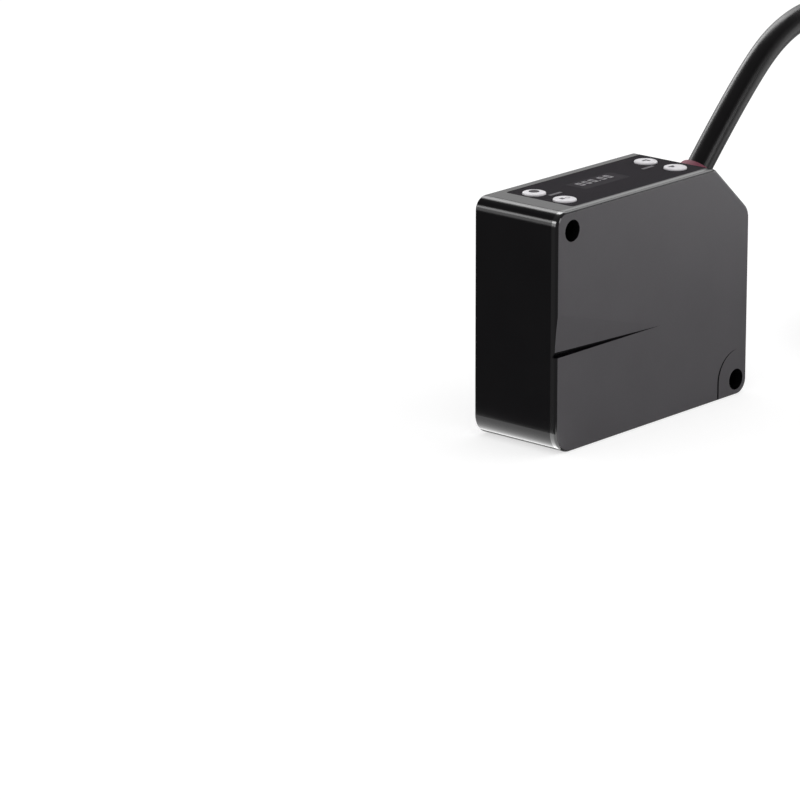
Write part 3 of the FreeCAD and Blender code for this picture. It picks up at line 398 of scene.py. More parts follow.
# Black anodised die casting that carries the optics: it swallows stray light.
CHASSIS_ANODISED = Finish(
    "black_anodised_casting", "#2b2b2d", "#343437", 0.5, 0.08, metallic=0.6,
    grain_mm=0.4, relief_mm=0.006,
)
# Turned free-cutting brass with fine rings.
BARREL_BRASS = Finish(
    "turned_brass", "#c9a24d", "#b58d3c", 0.28, 0.08, metallic=1.0,
    grain=Grain.TURNED, grain_mm=1.2, stretch=(0.25, 0.25, 6.0), relief_mm=0.004,
)
# Gold flash on nickel: warm metal of clear gloss.
CONTACT_GOLD = Finish(
    "gold_flashed_contact", "#dcb35a", "#cfa348", 0.22, 0.05, metallic=1.0,
    grain=Grain.POLISHED, grain_mm=1.0, relief_mm=0.002, blotch_mm=2.0,
)
# Coated optical glass: clear with a faint green-blue cast.
LENS_CROWN = Finish(
    "coated_crown_glass", "#e3f1f0", "#edf6f4", 0.04, 0.01, ior=1.52, transmission=0.95,
    grain=Grain.POLISHED, grain_mm=6.0, relief_mm=0.0005,
)
# Red-tinted window glass in front of the laser: deep red and clear.
EMISSION_GLASS = Finish(
    "ruby_tinted_glass", "#8c3a3f", "#97444a", 0.06, 0.01, ior=1.52, transmission=0.85,
    grain=Grain.POLISHED, grain_mm=6.0, relief_mm=0.0005,
)
# Smoked window glass in front of the receiver, which passes only the laser's light: it looks
# almost black.
RECEIVER_GLASS = Finish(
    "smoked_filter_glass", "#2c2430", "#342a38", 0.06, 0.01, ior=1.52, transmission=0.35,
    grain=Grain.POLISHED, grain_mm=6.0, relief_mm=0.0005,
)
# Black anodised turned rings: dark metal with a soft gloss.
RING_ANODISED = Finish(
    "black_anodised_ring", "#161617", "#1f1f21", 0.42, 0.08, metallic=0.5,
    grain=Grain.TURNED, grain_mm=0.8, relief_mm=0.003,
)
# Grey alumina package of the image chip: chalky and even.
CHIP_ALUMINA = Finish("grey_alumina", "#8a8780", "#96938c", 0.5)
# Dull wine-red polyamide gland: the only colour on the body.
GLAND_NYLON = Finish(
    "wine_red_polyamide", "#73404d", "#673744", 0.5, 0.06, specular=0.02,
    grain_mm=0.35, relief_mm=0.003,
)
# Brushed stainless steel of the clamp ring: fine lines and a soft gloss.
CLAMP_STAINLESS = Finish(
    "brushed_stainless", "#a9aaac", "#939598", 0.34, 0.08, metallic=1.0,
    grain=Grain.BRUSHED, grain_mm=0.35,
)
# Extruded black PVC jacket: smooth with a clear line of gloss.
JACKET_PVC = Finish(
    "extruded_black_pvc", "#040304", "#070607", 0.3, 0.04, specular=0.055,
    grain=Grain.POLISHED, grain_mm=2.5, relief_mm=0.004, blotch_mm=12.0,
)
# Coloured PVC insulation of the inner leads: brown with a soft sheen.
WIRE_PVC = Finish("brown_lead_insulation", "#7a4a2a", "#6a3d22", 0.4, grain_mm=0.5)
# Soft polyurethane moulded over the plug's grip: dull black and slightly rough.
GRIP_TPU = Finish(
    "black_polyurethane_grip", "#151515", "#1b1b1b", 0.55, 0.07, specular=0.15,
    grain_mm=0.5, relief_mm=0.01,
)
# Nickel-plated brass coupling: warm grey metal with fine turned rings.
COUPLING_NICKEL = Finish(
    "nickel_plated_brass", "#a5a29b", "#96938b", 0.26, 0.06, metallic=1.0,
    grain=Grain.TURNED, grain_mm=0.7, stretch=(5.0, 0.4, 0.4), relief_mm=0.002,
)
# Glass-filled polyamide of the contact carrier: plain dull black.
INSERT_NYLON = Finish("black_glass_filled_polyamide", "#1d1d1f", "#26262a", 0.5, grain_mm=0.3)
# Painted shade: a flat near-black disc on the solid insert stands for the unlit depth of a socket.
SOCKET_PAINTED_SHADE = Finish(
    "painted_shade_contact_socket", "#050505", "#080808", 0.8, 0.03, specular=0.02, grain_mm=0.3,
)


def screen_ink(name: str, colour: str, second: str) -> Finish:
    """Flat screen ink, with hardly any gloss."""
    return Finish(
        name, colour, second, 0.6, 0.04, specular=0.02, grain_mm=0.2, relief_mm=0.001,
    )


# Greys of the display's digits and of the marks on the buttons, which stay quiet on white.
MARK_INK = screen_ink("grey_screen_ink", "#8f8d90", "#868487")
GREY_INK = screen_ink("slate_screen_ink", "#575558", "#504e51")
DARK_INK = screen_ink("dark_screen_ink", "#2a282b", "#313033")
SOFT_INK = screen_ink("pale_screen_ink", "#a5a3a6", "#9a989b")

NODE_FINISHES: dict[str, Finish] = {
    "housing": HOUSING_ABS,
    "side_cover": COVER_COAT_AND_SHADE,
    "cover_seal": SEAL_NITRILE,
    "cover_screws": SCREW_ZINC,
    "display_panel": PANEL_FILM,
    "display_window": WINDOW_ACRYLIC,
    "display_module": DISPLAY_EPOXY,
    "light_pipes": PIPE_FROST,
    "indicator_leds": LAMP_EPOXY,
    "button_set": BUTTON_ABS,
    "button_mode": BUTTON_ABS,
    "button_up": BUTTON_ABS,
    "button_down": BUTTON_ABS,
    "tact_switches": CHIP_COMPOUND,
    "display_board": BOARD_LAMINATE,
    "display_board_screws": SCREW_ZINC,
    "main_board": BOARD_LAMINATE,
    "main_board_screws": SCREW_ZINC,
    "processor_chip": CHIP_COMPOUND,
    "capacitors": CAN_ALUMINIUM,
    "board_header": HEADER_NYLON,
    "wire_plug": HEADER_NYLON,
    "optical_chassis": CHASSIS_ANODISED,
    "chassis_screws": SCREW_ZINC,
    "laser_barrel": BARREL_BRASS,
    "laser_diode": CONTACT_GOLD,
    "collimating_lens": LENS_CROWN,
    "lens_retainer": RING_ANODISED,
    "laser_set_screw": SCREW_ZINC,
    "laser_board": BOARD_LAMINATE,
    "receiving_lens": LENS_CROWN,
    "receiving_lens_ring": RING_ANODISED,
    "sensor_board": BOARD_LAMINATE,
    "sensor_board_screws": SCREW_ZINC,
    "image_sensor": CHIP_ALUMINA,
    "image_sensor_glass": LENS_CROWN,
    "sensor_plug": HEADER_NYLON,
    "emission_window": EMISSION_GLASS,
    "receiving_window": RECEIVER_GLASS,
    "window_seals": SEAL_NITRILE,
    "cable_gland": GLAND_NYLON,
    "cable_clamp": CLAMP_STAINLESS,
    "cable_jacket_end": JACKET_PVC,
    "lead_wires": WIRE_PVC,
    "connector_grip": GRIP_TPU,
    "coupling_screw": COUPLING_NICKEL,
    "connector_insert": INSERT_NYLON,
    "connector_pins": CONTACT_GOLD,
}


def dress_nodes(nodes: dict[str, bpy.types.Object]) -> None:
    """Give every CAD node its finish.

    Args:
        nodes: The frame's nodes by name.
    """
    for name, finish in NODE_FINISHES.items():
        mesh = nodes[name].data
        mesh.materials.clear()
        mesh.materials.append(finish.material())
    LOG.info("dressed %d nodes", len(NODE_FINISHES))


def mesh_piece(
    name: str,
    points: np.ndarray,
    faces: np.ndarray,
    finish: Finish,
    body: str,
) -> bpy.types.Object:
    """Make a piece from arrays of points and faces, and let it ride on a body.

    Args:
        name: The piece's name.
        points: Positions in metres, one row each.
        faces: Point numbers, one row a face.
        finish: What it is made of.
        body: The body that it moves with.

    Returns:
        The new object, at the origin.
    """
    mesh = bpy.data.meshes.new(name)
    mesh.from_pydata(points.tolist(), [], faces.tolist())
    mesh.update()
    mesh.materials.append(finish.material())
    piece = bpy.data.objects.new(name, mesh)
    bpy.context.scene.collection.objects.link(piece)
    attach(piece, body)
    LOG.info("made %s with %d faces", name, len(faces))
    return piece


def slab(outlines: list[np.ndarray], low: float, high: float) -> tuple[np.ndarray, np.ndarray]:
    """Raise flat convex quads into thin closed slabs.

    Each outline has four corners, anticlockwise from above. The slab's points are the outline
    at the low and at the high level, and its faces are the bottom, the top and four sides.

    Args:
        outlines: One array of four (x, y) corners for each slab, in metres.
        low: Height of the underside.
        high: Height of the top.

    Returns:
        The points and the faces of all slabs together.
    """
    flat = np.array(outlines)
    count = len(flat)
    levels = np.array([low, high])
    grid = np.zeros((count, 2, 4, 3))
    grid[..., :2] = flat[:, None]
    grid[..., 2] = levels[None, :, None]
    box = np.array(
        [[3, 2, 1, 0], [4, 5, 6, 7], [0, 1, 5, 4], [1, 2, 6, 5], [2, 3, 7, 6], [3, 0, 4, 7]]
    )
    faces = (box[None] + 8 * np.arange(count)[:, None, None]).reshape(-1, 4)
    return grid.reshape(-1, 3), faces


def rectangle(x0: float, x1: float, y0: float, y1: float) -> list[list[float]]:
    """Corners of an upright rectangle, anticlockwise."""
    return [[x0, y0], [x1, y0], [x1, y1], [x0, y1]]


def quad_rows(rows: int, closed: bool) -> np.ndarray:
    """Join rows of four points each, one after the other, by quads.

    Args:
        rows: How many rows there are.
        closed: Whether the last row is joined to the first.

    Returns:
        The faces, with the points numbered row by row.
    """
    here, there = np.meshgrid(np.arange(rows if closed else rows - 1), np.arange(4), indexing="ij")
    after, beside = (here + 1) % rows, (there + 1) % 4
    corners = [here * 4 + there, here * 4 + beside, after * 4 + beside, after * 4 + there]
    return np.stack(corners, axis=-1).reshape(-1, 4)


def band(
    centre: tuple[float, float],
    inner: float,
    outer: float,
    low: float,
    high: float,
    steps: int = 48,
) -> tuple[np.ndarray, np.ndarray]:
    """Turn a flat closed ring about an upright axis.

    Each of the equal steps round the centre carries four points: inner and outer radius at
    the low level, then outer and inner radius at the high level. Neighbouring steps are
    joined by quads, and the last joins the first.

    Args:
        centre: The ring's middle in x and y, in metres.
        inner: Inner radius.
        outer: Outer radius.
        low: Height of the underside.
        high: Height of the top.
        steps: How many steps go round.

    Returns:
        The points and the faces.
    """
    turn = np.linspace(0, 2 * math.pi, steps, endpoint=False)
    radius = np.array([inner, outer, outer, inner])
    grid = np.empty((steps, 4, 3))
    grid[..., 0] = centre[0] + np.cos(turn)[:, None] * radius
    grid[..., 1] = centre[1] + np.sin(turn)[:, None] * radius
    grid[..., 2] = np.array([low, low, high, high])
    return grid.reshape(-1, 3), quad_rows(steps, closed=True)[:, ::-1]


@dataclass
class PhotoCamera:
    """The camera that took the reference view, from a fit to the body's edges."""

    azimuth_deg: float = -48.154
    elevation_deg: float = 16.572
    roll_deg: float = -0.108
    distance_mm: float = 994.31
    side_mm: float = 43.767
    rise_mm: float = 21.235
    aim_mm: tuple[float, float, float] = (0.0, 0.0, 25.0)
    lens_mm: float = 218.44
    sensor_mm: float = 36.0
    near_m: float = 0.01
    far_m: float = 20.0

    def build(self) -> bpy.types.Object:
        """Set up the camera.

        The viewing direction comes from azimuth and elevation, the roll turns the picture, and
        the camera is then moved across the picture by the side and rise distances.

        Returns:
            The camera object.
        """
        az = math.radians(self.azimuth_deg)
        el = math.radians(self.elevation_deg)
        roll = math.radians(self.roll_deg)
        back = Vector((math.sin(az) * math.cos(el), -math.cos(az) * math.cos(el), math.sin(el)))
        right = Vector((0, 0, 1)).cross(back).normalized()
        up = back.cross(right)
        turned_right = right * math.cos(roll) + up * math.sin(roll)
        turned_up = up * math.cos(roll) - right * math.sin(roll)
        place = Vector(self.aim_mm) + back * self.distance_mm
        place -= turned_right * self.side_mm + turned_up * self.rise_mm
        data = bpy.data.cameras.new("photo_camera")
        data.lens = self.lens_mm
        data.sensor_width = self.sensor_mm
        data.clip_start = self.near_m
        data.clip_end = self.far_m
        camera = bpy.data.objects.new("photo_camera", data)
        axes = Matrix((turned_right, turned_up, back)).transposed().to_4x4()
        camera.matrix_world = Matrix.Translation(place * MM) @ axes
        bpy.context.scene.collection.objects.link(camera)
        bpy.context.scene.camera = camera
        LOG.info("camera at %s", tuple(round(v, 3) for v in camera.location))
        return camera


@dataclass
class Lead:
    """The free lead from the gland down to its coil and out to the plug."""

    radius_mm: float = 2.7
    length_m: float = 0.6
    gland_root: tuple[float, float, float] = (25.2, 0.0, 44.65)
    gland_normal: tuple[float, float, float] = (0.67802, 0.0, 0.73505)
    gland_height: float = 3.0
    first_run: float = 21.8
    fall: tuple[tuple[float, float, float], ...] = (
        (55.5, -0.3, 73.0),
        (71.8, -1.0, 75.0),
        (89.5, -0.8, 70.0),
        (108.2, -3.6, 60.9),
        (122.7, -13.8, 49.3),
        (127.2, -30.7, 36.4),
        (117.8, -46.5, 24.6),
        (99.5, -53.5, 15.6),
        (80.5, -48.0, 10.8),
        (68.3, -32.4, 8.7),
    )
    coil_centre: tuple[float, float] = (98.4, -21.4)
    coil_radius: float = 30.6
    coil_from_deg: float = 286.0
    coil_step_deg: float = 25.0
    coil_points: int = 25
    upper_z: float = 8.1
    lower_z: float = 2.7
    drop_from_deg: float = 570.0
    drop_to_deg: float = 615.0
    tail: tuple[tuple[float, float, float], ...] = (
        (91.4, -51.4, 2.7),
        (79.2, -51.4, 7.1),
        (68.6, -51.4, 7.1),
    )
    spline_order: int = 3
    steps_a_span: int = 16
    steps_round_quarter: int = 10
    plug_nodes: tuple[str, ...] = (
        "connector_grip", "coupling_screw", "connector_insert", "connector_pins",
    )

    def points(self) -> np.ndarray:
        """Put together the control points in metres.

        The first two lie along the gland's axis. The coil's points stand on one circle at
        equal angles, clockwise from +Y as seen from above: first on the upper turn, then on a
        short ramp down, then on the lower turn that lies on the floor.

        Returns:
            One row of x, y and z for each point.
        """
        root = np.array(self.gland_root)
        normal = np.array(self.gland_normal)
        start = root + normal * self.gland_height
        turn = self.coil_from_deg + self.coil_step_deg * np.arange(self.coil_points)
        angle = np.radians(turn)
        ramp = np.clip((turn - self.drop_from_deg) / (self.drop_to_deg - self.drop_from_deg), 0, 1)
        coil = np.stack(
            [
                self.coil_centre[0] + self.coil_radius * np.sin(angle),
                self.coil_centre[1] + self.coil_radius * np.cos(angle),
                self.upper_z + (self.lower_z - self.upper_z) * ramp,
            ],
            axis=1,
        )
        route = [start, start + normal * self.first_run, *self.fall, *coil, *self.tail]
        return np.array(route) * MM

    def build(self, nodes: dict[str, bpy.types.Object]) -> bpy.types.Object:
        """Args:
            nodes: The frame's nodes by name; not used.

        Returns:
            The lead's curve object.
        """
        route = self.points()
        data = bpy.data.curves.new("lead", "CURVE")
        data.dimensions = "3D"
        data.bevel_depth = self.radius_mm * MM
        data.bevel_resolution = self.steps_round_quarter
        data.resolution_u = self.steps_a_span
        data.use_fill_caps = True
        spline = data.splines.new("NURBS")
        spline.points.add(len(route) - 1)
        flat = np.concatenate([route, np.ones((len(route), 1))], axis=1)
        spline.points.foreach_set("co", flat.ravel())
        spline.order_u = self.spline_order
        spline.use_endpoint_u = True
        spline.use_smooth = True
        data.materials.append(JACKET_PVC.material())
        lead = bpy.data.objects.new("lead", data)
        bpy.context.scene.collection.objects.link(lead)
        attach(lead, CASE)
        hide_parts("cable_fall", "cable_coil", "cable_tail")
        LOG.info("laid the lead with %d points", len(route))
        return lead


@dataclass
class DisplayDigits:
    """The reading 000.00 in seven-segment figures, printed in light grey on the window.

    The two insets are the first figure's distances from the window's edges towards -X and -Y.
    """

    inset_x: float = 1.65
    inset_y: float = 2.28
    pitch: float = 2.0
    dot_back: float = 0.42
    dot_room: float = 0.75
    width: float = 1.2
    height: float = 2.15
    stroke: float = 0.34
    gap: float = 0.05
    lift: float = 0.03
    sunk: float = 0.02
    text: str = "000.00"

    def _nought(self) -> list[np.ndarray]:
        """Work out the six bars of a nought as quads whose ends are cut aslant.

        The foot bar and the lower left bar are given by their corners, and the other four are
        their mirror images in the figure's middle lines.

        Returns:
            Four (x, y) corners for each bar, from the figure's lower left corner, and the
            bars clockwise from the top.
        """
        w, h, s, g = self.width, self.height, self.stroke, self.gap
        mid = h / 2
        foot = np.array([[g, 0], [w - g, 0], [w - s, s], [s, s]])
        side = np.array([[0, g], [s, s], [s, mid - g], [0, mid - g]])
        flip_x = np.array([-1.0, 1.0])
        flip_y = np.array([1.0, -1.0])
        return [
            (foot * flip_y + [0, h])[::-1],
            side * flip_x * flip_y + [w, h],
            (side * flip_x + [w, 0])[::-1],
            foot,
            side,
            (side * flip_y + [0, h])[::-1],
        ]

    def build(self) -> bpy.types.Object:
        """Make all figures and the point as one thin print on the window.

        Returns:
            The print's object.
        """
        low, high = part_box("display_window")
        left = low[0] / MM + self.inset_x
        near = low[1] / MM + self.inset_y
        point = [np.array(rectangle(0, self.stroke, 0, self.stroke))]
        quads = []
        for sign in self.text:
            if sign == ".":
                quads.extend(bar + [left - self.dot_back, near] for bar in point)
                left += self.dot_room
            else:
                quads.extend(bar + [left, near] for bar in self._nought())
                left += self.pitch
        bottom, top = high[2] - self.sunk * MM, high[2] + self.lift * MM
        points, faces = slab([quad * MM for quad in quads], bottom, top)
        return mesh_piece("display_digits", points, faces, MARK_INK, CASE)


@dataclass
class ButtonMarks:
    """The generic prints on the four buttons, which travel with them.

    The marks are a dot, a square beside a small ring, a corner and a wedge, and each is given
    from its button's axis. A button's flange reaches from the axis towards +X by its radius
    and equally far to both sides in Y, and so the button's box gives the axis.
    """

    flange_radius: float = 3.1
    dot_at: tuple[float, float] = (0.45, 0.4)
    dot_radius: float = 1.1
    pinhole: float = 0.02
    square_x: tuple[float, float] = (-0.81, 0.15)
    square_y: tuple[float, float] = (-0.11, 0.85)
    ring_at: tuple[float, float] = (0.92, 0.04)
    ring_inner: float = 0.26
    ring_outer: float = 0.56
    corner_x: tuple[float, float] = (-0.65, 0.75)
    corner_y: tuple[float, float] = (-0.75, 0.6)
    corner_stroke: float = 0.5
    wedge_base_x: tuple[float, float] = (-1.2, 0.4)
    wedge_base_y: tuple[float, float] = (0.62, 1.05)
    wedge_foot_x: tuple[float, float] = (-1.0, 0.2)
    wedge_tip_x: tuple[float, float] = (-0.65, -0.15)
    lift: float = 0.02
    sunk: float = 0.03

    def build(self) -> None:
        """Print all marks, each on the top of its own button."""
        dot = (self.pinhole, self.dot_radius)
        self._ring("mark_set_dot", "button_set", self.dot_at, dot, DARK_INK)
        square = rectangle(*self.square_x, *self.square_y)
        self._bars("mark_mode_square", "button_mode", [square], GREY_INK)
        ring = (self.ring_inner, self.ring_outer)
        self._ring("mark_mode_ring", "button_mode", self.ring_at, ring, SOFT_INK)
        (x0, x1), (y0, y1), stroke = self.corner_x, self.corner_y, self.corner_stroke
        arms = [rectangle(x0, x1, y1 - stroke, y1), rectangle(x1 - stroke, x1, y0, y1 - stroke)]
        self._bars("mark_up_corner", "button_up", arms, DARK_INK)
        (tip0, tip1), (foot0, foot1) = self.wedge_tip_x, self.wedge_foot_x
        foot_y = self.wedge_base_y[0]
        tip = [[tip0, 0], [tip1, 0], [foot1, foot_y], [foot0, foot_y]]
        base = rectangle(*self.wedge_base_x, *self.wedge_base_y)
        self._bars("mark_down_wedge", "button_down", [base, tip], GREY_INK)

    def _seat(self, node: str) -> tuple[np.ndarray, float, float]:
        """Find a button's axis and the levels between which a mark on it lies.

        Args:
            node: The button's node.

        Returns:
            The axis in x and y, and the mark's underside and top, in metres.
        """
        low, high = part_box(node)
        axis = np.array([high[0] - self.flange_radius * MM, (low[1] + high[1]) / 2])
        return axis, high[2] - self.sunk * MM, high[2] + self.lift * MM

    def _ring(
        self,
        name: str,
        node: str,
        at: tuple[float, float],
        radii: tuple[float, float],
        ink: Finish,
    ) -> None:
        """Print a ring or, with a pinhole, a dot.

        Args:
            name: The piece's name.
            node: The button's node.
            at: The ring's middle, from the button's axis.
            radii: Inner and outer radius.
            ink: The print's finish.
        """
        axis, low, high = self._seat(node)
        x, y = axis + np.array(at) * MM
        points, faces = band((x, y), radii[0] * MM, radii[1] * MM, low, high)
        mesh_piece(name, points, faces, ink, node + "_body")

    def _bars(self, name: str, node: str, quads: list[list[list[float]]], ink: Finish) -> None:
        """Print straight bars.

        Args:
            name: The piece's name.
            node: The button's node.
            quads: Four (x, y) corners for each bar, from the button's axis.
            ink: The print's finish.
        """
        axis, low, high = self._seat(node)
        points, faces = slab([axis + np.array(quad) * MM for quad in quads], low, high)
        mesh_piece(name, points, faces, ink, node + "_body")


def plug_axis() -> tuple[float, float]:
    """Find the line along X on which the plug lies, from the box of its round coupling.

    Returns:
        The line's y and z, in millimetres.
    """
    low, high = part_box("coupling_screw")
    return (low[1] + high[1]) / 2 / MM, (low[2] + high[2]) / 2 / MM


@dataclass
class CouplingThread:
    """The fine thread that winds round the front of the plug's coupling."""

    start: float = 0.65
    length: float = 6.4
    pitch: float = 1.0
    root: float = 5.9
    crest: float = 6.14
    foot_half: float = 0.4
    crest_half: float = 0.07
    steps_a_turn: int = 72
    runout_turns: float = 1 / 3
    end_share: float = 0.05

    def build(self) -> bpy.types.Object:
        """Sweep a four-point ridge along a right-handed helix.

        The section's corners are the two feet at the root radius and the two crest corners at
        the crest radius. It begins at the start distance behind the coupling's front, and its
        place along X grows with the angle by one pitch a turn. Over the first and the last
        third of a turn the crest sinks down almost to the root, so that the thread runs out.
        Both ends are closed.

        Returns:
            The thread's object.
        """
        axis_y, axis_z = plug_axis()
        from_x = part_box("coupling_screw")[0][0] / MM + self.start
        turns = self.length / self.pitch
        count = int(turns * self.steps_a_turn) + 1
        angle = np.linspace(0, 2 * math.pi * turns, count)
        middle = from_x + self.pitch * angle / (2 * math.pi)
        to_end = np.minimum(angle, angle[-1] - angle) / (2 * math.pi * self.runout_turns)
        crest = self.root + (self.crest - self.root) * np.clip(to_end, self.end_share, 1)
        foot = np.full(count, self.root)
        radius = np.stack([foot, crest, crest, foot], axis=1)
        offset = np.array([-self.foot_half, -self.crest_half, self.crest_half, self.foot_half])
        points = np.empty((count, 4, 3))
        points[..., 0] = middle[:, None] + offset
        points[..., 1] = axis_y + radius * np.cos(angle)[:, None]
        points[..., 2] = axis_z + radius * np.sin(angle)[:, None]
        last = 4 * (count - 1)
        caps = np.array([[3, 2, 1, 0], [last, last + 1, last + 2, last + 3]])
        faces = np.concatenate([quad_rows(count, closed=False), caps])[:, ::-1]
        points = points.reshape(-1, 3) * MM
        return mesh_piece("coupling_thread", points, faces, COUPLING_NICKEL, COUPLING)


@dataclass
class ContactFace:
    """The plug's front: four gold socket mouths on the insert, each round a disc of painted shade
    for its dark opening.
    """

    circle: float = 2.6
    count: int = 4
    pinhole: float = 0.02
    mouth: float = 0.46
    rim: float = 0.76
    rim_proud: float = 0.08
    shade_disc_proud: float = 0.03
    sunk: float = 0.1

    def build(self) -> None:
        """Put the gold rims in place, and a disc of painted shade in each mouth."""
        self._rings(
            "contact_rims", self.mouth, self.rim, self.rim_proud, CONTACT_GOLD
        )
        # Discs of painted shade that stand for the dark depth of the sockets.
        self._rings(
            "contact_opening_shade",
            self.pinhole,
            self.mouth,
            self.shade_disc_proud,
            SOCKET_PAINTED_SHADE,
        )

    def _rings(
        self, name: str, inner: float, outer: float, proud: float, finish: Finish
    ) -> None:
        """Join equal flat rings, one on each contact, that face -X.

        The centres are even steps round the plug's axis, turned by half a step. Each ring is
        turned about an upright axis, and moving the columns of its points one place on lays
        that axis along X.

        Args:
            name: The piece's name.
            inner: Inner radius.
            outer: Outer radius.
            proud: How far the rings stand before the insert.
            finish: The rings' finish.
        """
        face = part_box("connector_insert")[0][0]
        front, back = face - proud * MM, face + self.sunk * MM
        axis_y, axis_z = plug_axis()
        points, faces = [], []
        for number in range(self.count):
            turn = 2 * math.pi * (number + 0.5) / self.count
            y = axis_y + self.circle * math.cos(turn)
            z = axis_z + self.circle * math.sin(turn)
            ring, quads = band(mm(y, z), inner * MM, outer * MM, front, back)
            points.append(np.roll(ring, 1, axis=1))
            faces.append(quads + number * len(ring))
        mesh_piece(name, np.concatenate(points), np.concatenate(faces), finish, CASE)


@dataclass
class StagePlane:
    """A plain pale floor that shows white to the camera and keeps the object's shadow."""

    half_m: float = 4.0
    tone: str = "#f2f2f2"
    camera_tone: str = "#bcbcbc"
    camera_lift: float = 0.64

    def build(self) -> bpy.types.Object:
        """Make the floor.

        Returns:
            The floor's object.
        """
        h = self.half_m
        mesh = bpy.data.meshes.new("floor")
        mesh.from_pydata([(-h, -h, 0), (h, -h, 0), (h, h, 0), (-h, h, 0)], [], [(0, 1, 2, 3)])
        mesh.materials.append(self._material())
        floor = bpy.data.objects.new("floor", mesh)
        bpy.context.scene.collection.objects.link(floor)
        LOG.info("laid the floor")
        return floor

    def _material(self) -> bpy.types.Material:
        """Mix the pale matte floor with the white that the camera and clear gloss see.

        Returns:
            The floor's material.
        """
        made = bpy.data.materials.new("pale_floor")
        made.use_nodes = True
        tree = made.node_tree
        tree.nodes.clear()
        rays = add_node(tree, "ShaderNodeLightPath")
        tone = add_node(
            tree,
            "ShaderNodeMix",
            settings={"data_type": "RGBA"},
            inputs={6: linear(self.tone), 7: linear(self.camera_tone)},
            links={0: rays.outputs["Is Camera Ray"]},
        )
        matte = add_node(tree, "ShaderNodeBsdfDiffuse", links={"Color": tone.outputs[2]})
        share = add_node(
            tree,
            "ShaderNodeMath",
            settings={"operation": "MULTIPLY"},
            inputs={1: self.camera_lift},
            links={0: rays.outputs["Is Camera Ray"]},
        )
        lift = add_node(tree, "ShaderNodeEmission", links={"Strength": share.outputs[0]})
        seen = add_node(
            tree, "ShaderNodeAddShader", links={0: matte.outputs[0], 1: lift.outputs[0]}
        )
        clear = add_node(
            tree,
            "ShaderNodeMath",
            settings={"operation": "MAXIMUM"},
            links={0: rays.outputs["Is Glossy Ray"], 1: rays.outputs["Is Transmission Ray"]},
        )
        white = add_node(tree, "ShaderNodeEmission", inputs={"Strength": 1.0})
        mixed = add_node(
            tree,
            "ShaderNodeMixShader",
            links={0: clear.outputs[0], 1: seen.outputs[0], 2: white.outputs[0]},
        )
        add_node(tree, "ShaderNodeOutputMaterial", links={"Surface": mixed.outputs[0]})
        return made


# Spots, in metres, that the lamps are turned to: the body's middle, its top, the rounded edge
# above the narrow front face, and the floor just before the foot of that face.
MIDDLE = (0.0, 0.0, 0.035)
CROWN = (0.0, 0.0, 0.05)
SHOULDER = (-0.03, 0.0, 0.049)
FOOT = (-0.0355, 0.008, 0.0002)


@dataclass(frozen=True)
class Lamp:
    """One rectangular area lamp.

    Its place is a direction and a distance in metres from the spot of the body that it
    serves, its two sizes in metres are along Y and across, and its radiance is the brightness
    of its face, where 1 is white. A gloss card lights no matte surface and shows only in
    reflections.
    """

    name: str
    towards: tuple[float, float, float]
    distance: float
    size: tuple[float, float]
    radiance: float
    gloss_card: bool = False
    target: tuple[float, float, float] = MIDDLE

    def hang(self) -> None:
        """Hang the lamp, turned to its target, with its first side along Y."""
        data = bpy.data.lights.new(self.name, "AREA")
        data.shape = "RECTANGLE"
        data.size, data.size_y = self.size
        data.energy = self.radiance * math.pi * self.size[0] * self.size[1]
        lamp = bpy.data.objects.new(self.name, data)
        back = Vector(self.towards).normalized()
        along = Vector((0, 1, 0))
        side = (along - back * back.dot(along)).normalized()
        axes = Matrix((side, back.cross(side), back)).transposed().to_4x4()
        lamp.matrix_world = Matrix.Translation(Vector(self.target) + back * self.distance) @ axes
        lamp.visible_camera = False
        lamp.visible_diffuse = not self.gloss_card
        bpy.context.scene.collection.objects.link(lamp)


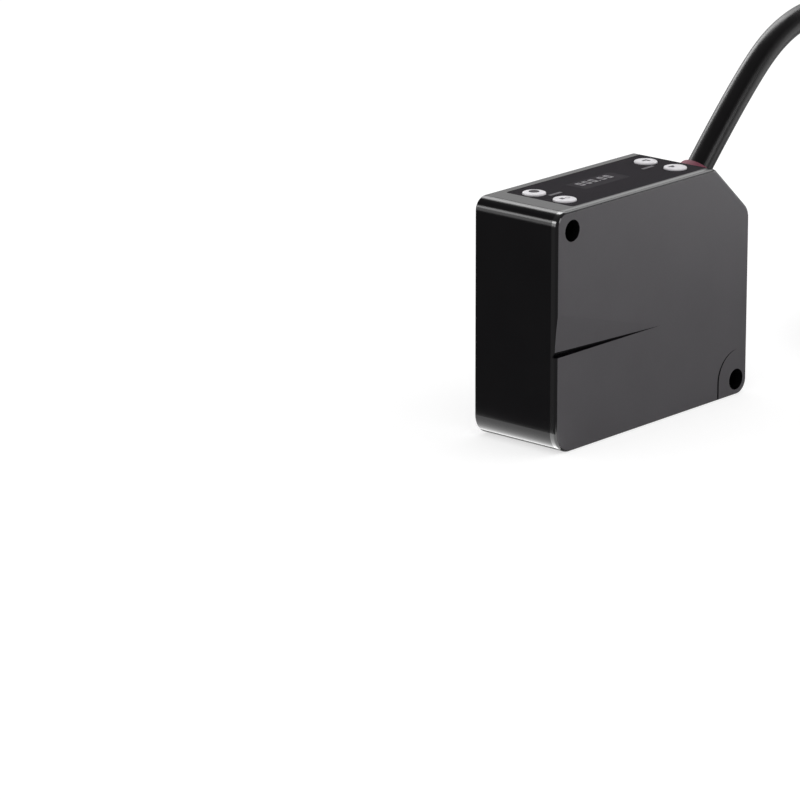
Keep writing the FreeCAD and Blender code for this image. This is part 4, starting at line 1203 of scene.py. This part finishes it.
@dataclass
class SoftStudio:
    """Plain soft light: a pale room, two large soft boxes and the cards that gloss needs."""

    room: float = 0.75
    lamps: tuple[Lamp, ...] = (
        Lamp("top_box", (-0.1, -0.25, 1.0), 0.9, (0.7, 0.7), 0.5),
        Lamp("side_box", (0.75, -0.6, 0.35), 0.35, (0.25, 0.25), 1.2),
        # Cards at the side, for the cover's sheen and the line of gloss along the lead.
        Lamp("side_card", (0.88, -0.46, 0.05), 0.18, (0.12, 0.1), 6.0, True),
        Lamp("cord_card", (0.16, -0.965, 0.2), 0.6, (0.17, 0.26), 32.0, True),
        # Cards above and behind, for the rim and the edges of the top.
        Lamp("rim_card", (0.714, 0.639, 0.285), 1.0, (0.42, 0.3), 0.7, True, CROWN),
        Lamp("edge_card", (0.714, -0.05, 0.67), 0.7, (0.5, 0.26), 7.0, True, CROWN),
        # A wide card with a bright core each for the upper and the lower band of the front face.
        Lamp("shoulder_card", (0.42, 0.639, 0.64), 0.7, (0.7, 0.42), 9.0, True, SHOULDER),
        Lamp("shoulder_core", (0.36, 0.639, 0.68), 0.7, (0.7, 0.18), 14.0, True, SHOULDER),
        Lamp("low_card", (-0.72, 0.639, 0.18), 0.7, (0.6, 0.42), 15.0, True, SHOULDER),
        Lamp("low_core", (-0.701, 0.639, 0.316), 0.7, (0.6, 0.14), 34.0, True, SHOULDER),
        # A card that lies on the floor, face up, for the line at the foot.
        Lamp("foot_card", (0.0, 0.0, -1.0), 0.0, (0.07, 0.013), 12.0, True, FOOT),
    )

    def build(self) -> None:
        """Set the world and hang the lamps."""
        world = bpy.data.worlds.new("pale_room")
        bpy.context.scene.world = world
        world.use_nodes = True
        tree = world.node_tree
        tree.nodes.clear()
        rays = add_node(tree, "ShaderNodeLightPath")
        room = add_node(
            tree,
            "ShaderNodeBackground",
            inputs={"Color": (1, 1, 1, 1), "Strength": self.room},
        )
        white = add_node(
            tree,
            "ShaderNodeBackground",
            inputs={"Color": (1, 1, 1, 1), "Strength": 1.0},
        )
        clear = add_node(
            tree,
            "ShaderNodeMath",
            settings={"operation": "MAXIMUM"},
            links={0: rays.outputs["Is Glossy Ray"], 1: rays.outputs["Is Transmission Ray"]},
        )
        either = add_node(
            tree,
            "ShaderNodeMath",
            settings={"operation": "MAXIMUM"},
            links={0: rays.outputs["Is Camera Ray"], 1: clear.outputs[0]},
        )
        mixed = add_node(
            tree,
            "ShaderNodeMixShader",
            links={0: either.outputs[0], 1: room.outputs[0], 2: white.outputs[0]},
        )
        add_node(tree, "ShaderNodeOutputWorld", links={"Surface": mixed.outputs[0]})
        for lamp in self.lamps:
            lamp.hang()
        LOG.info("studio light is up with %d lamps", len(self.lamps))


def main() -> None:
    """Build the scene piece by piece, in the order of the real assembly."""
    logging.basicConfig(level=logging.INFO, format="%(name)s: %(message)s")
    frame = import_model()
    nodes = frame["nodes"]
    PhotoCamera().build()
    Lead().build(nodes)
    dress_nodes(nodes)
    DisplayDigits().build()
    ButtonMarks().build()
    CouplingThread().build()
    ContactFace().build()
    StagePlane().build()
    SoftStudio().build()
    bpy.context.scene.view_settings.view_transform = "Standard"


if __name__ == "__main__":
    main()
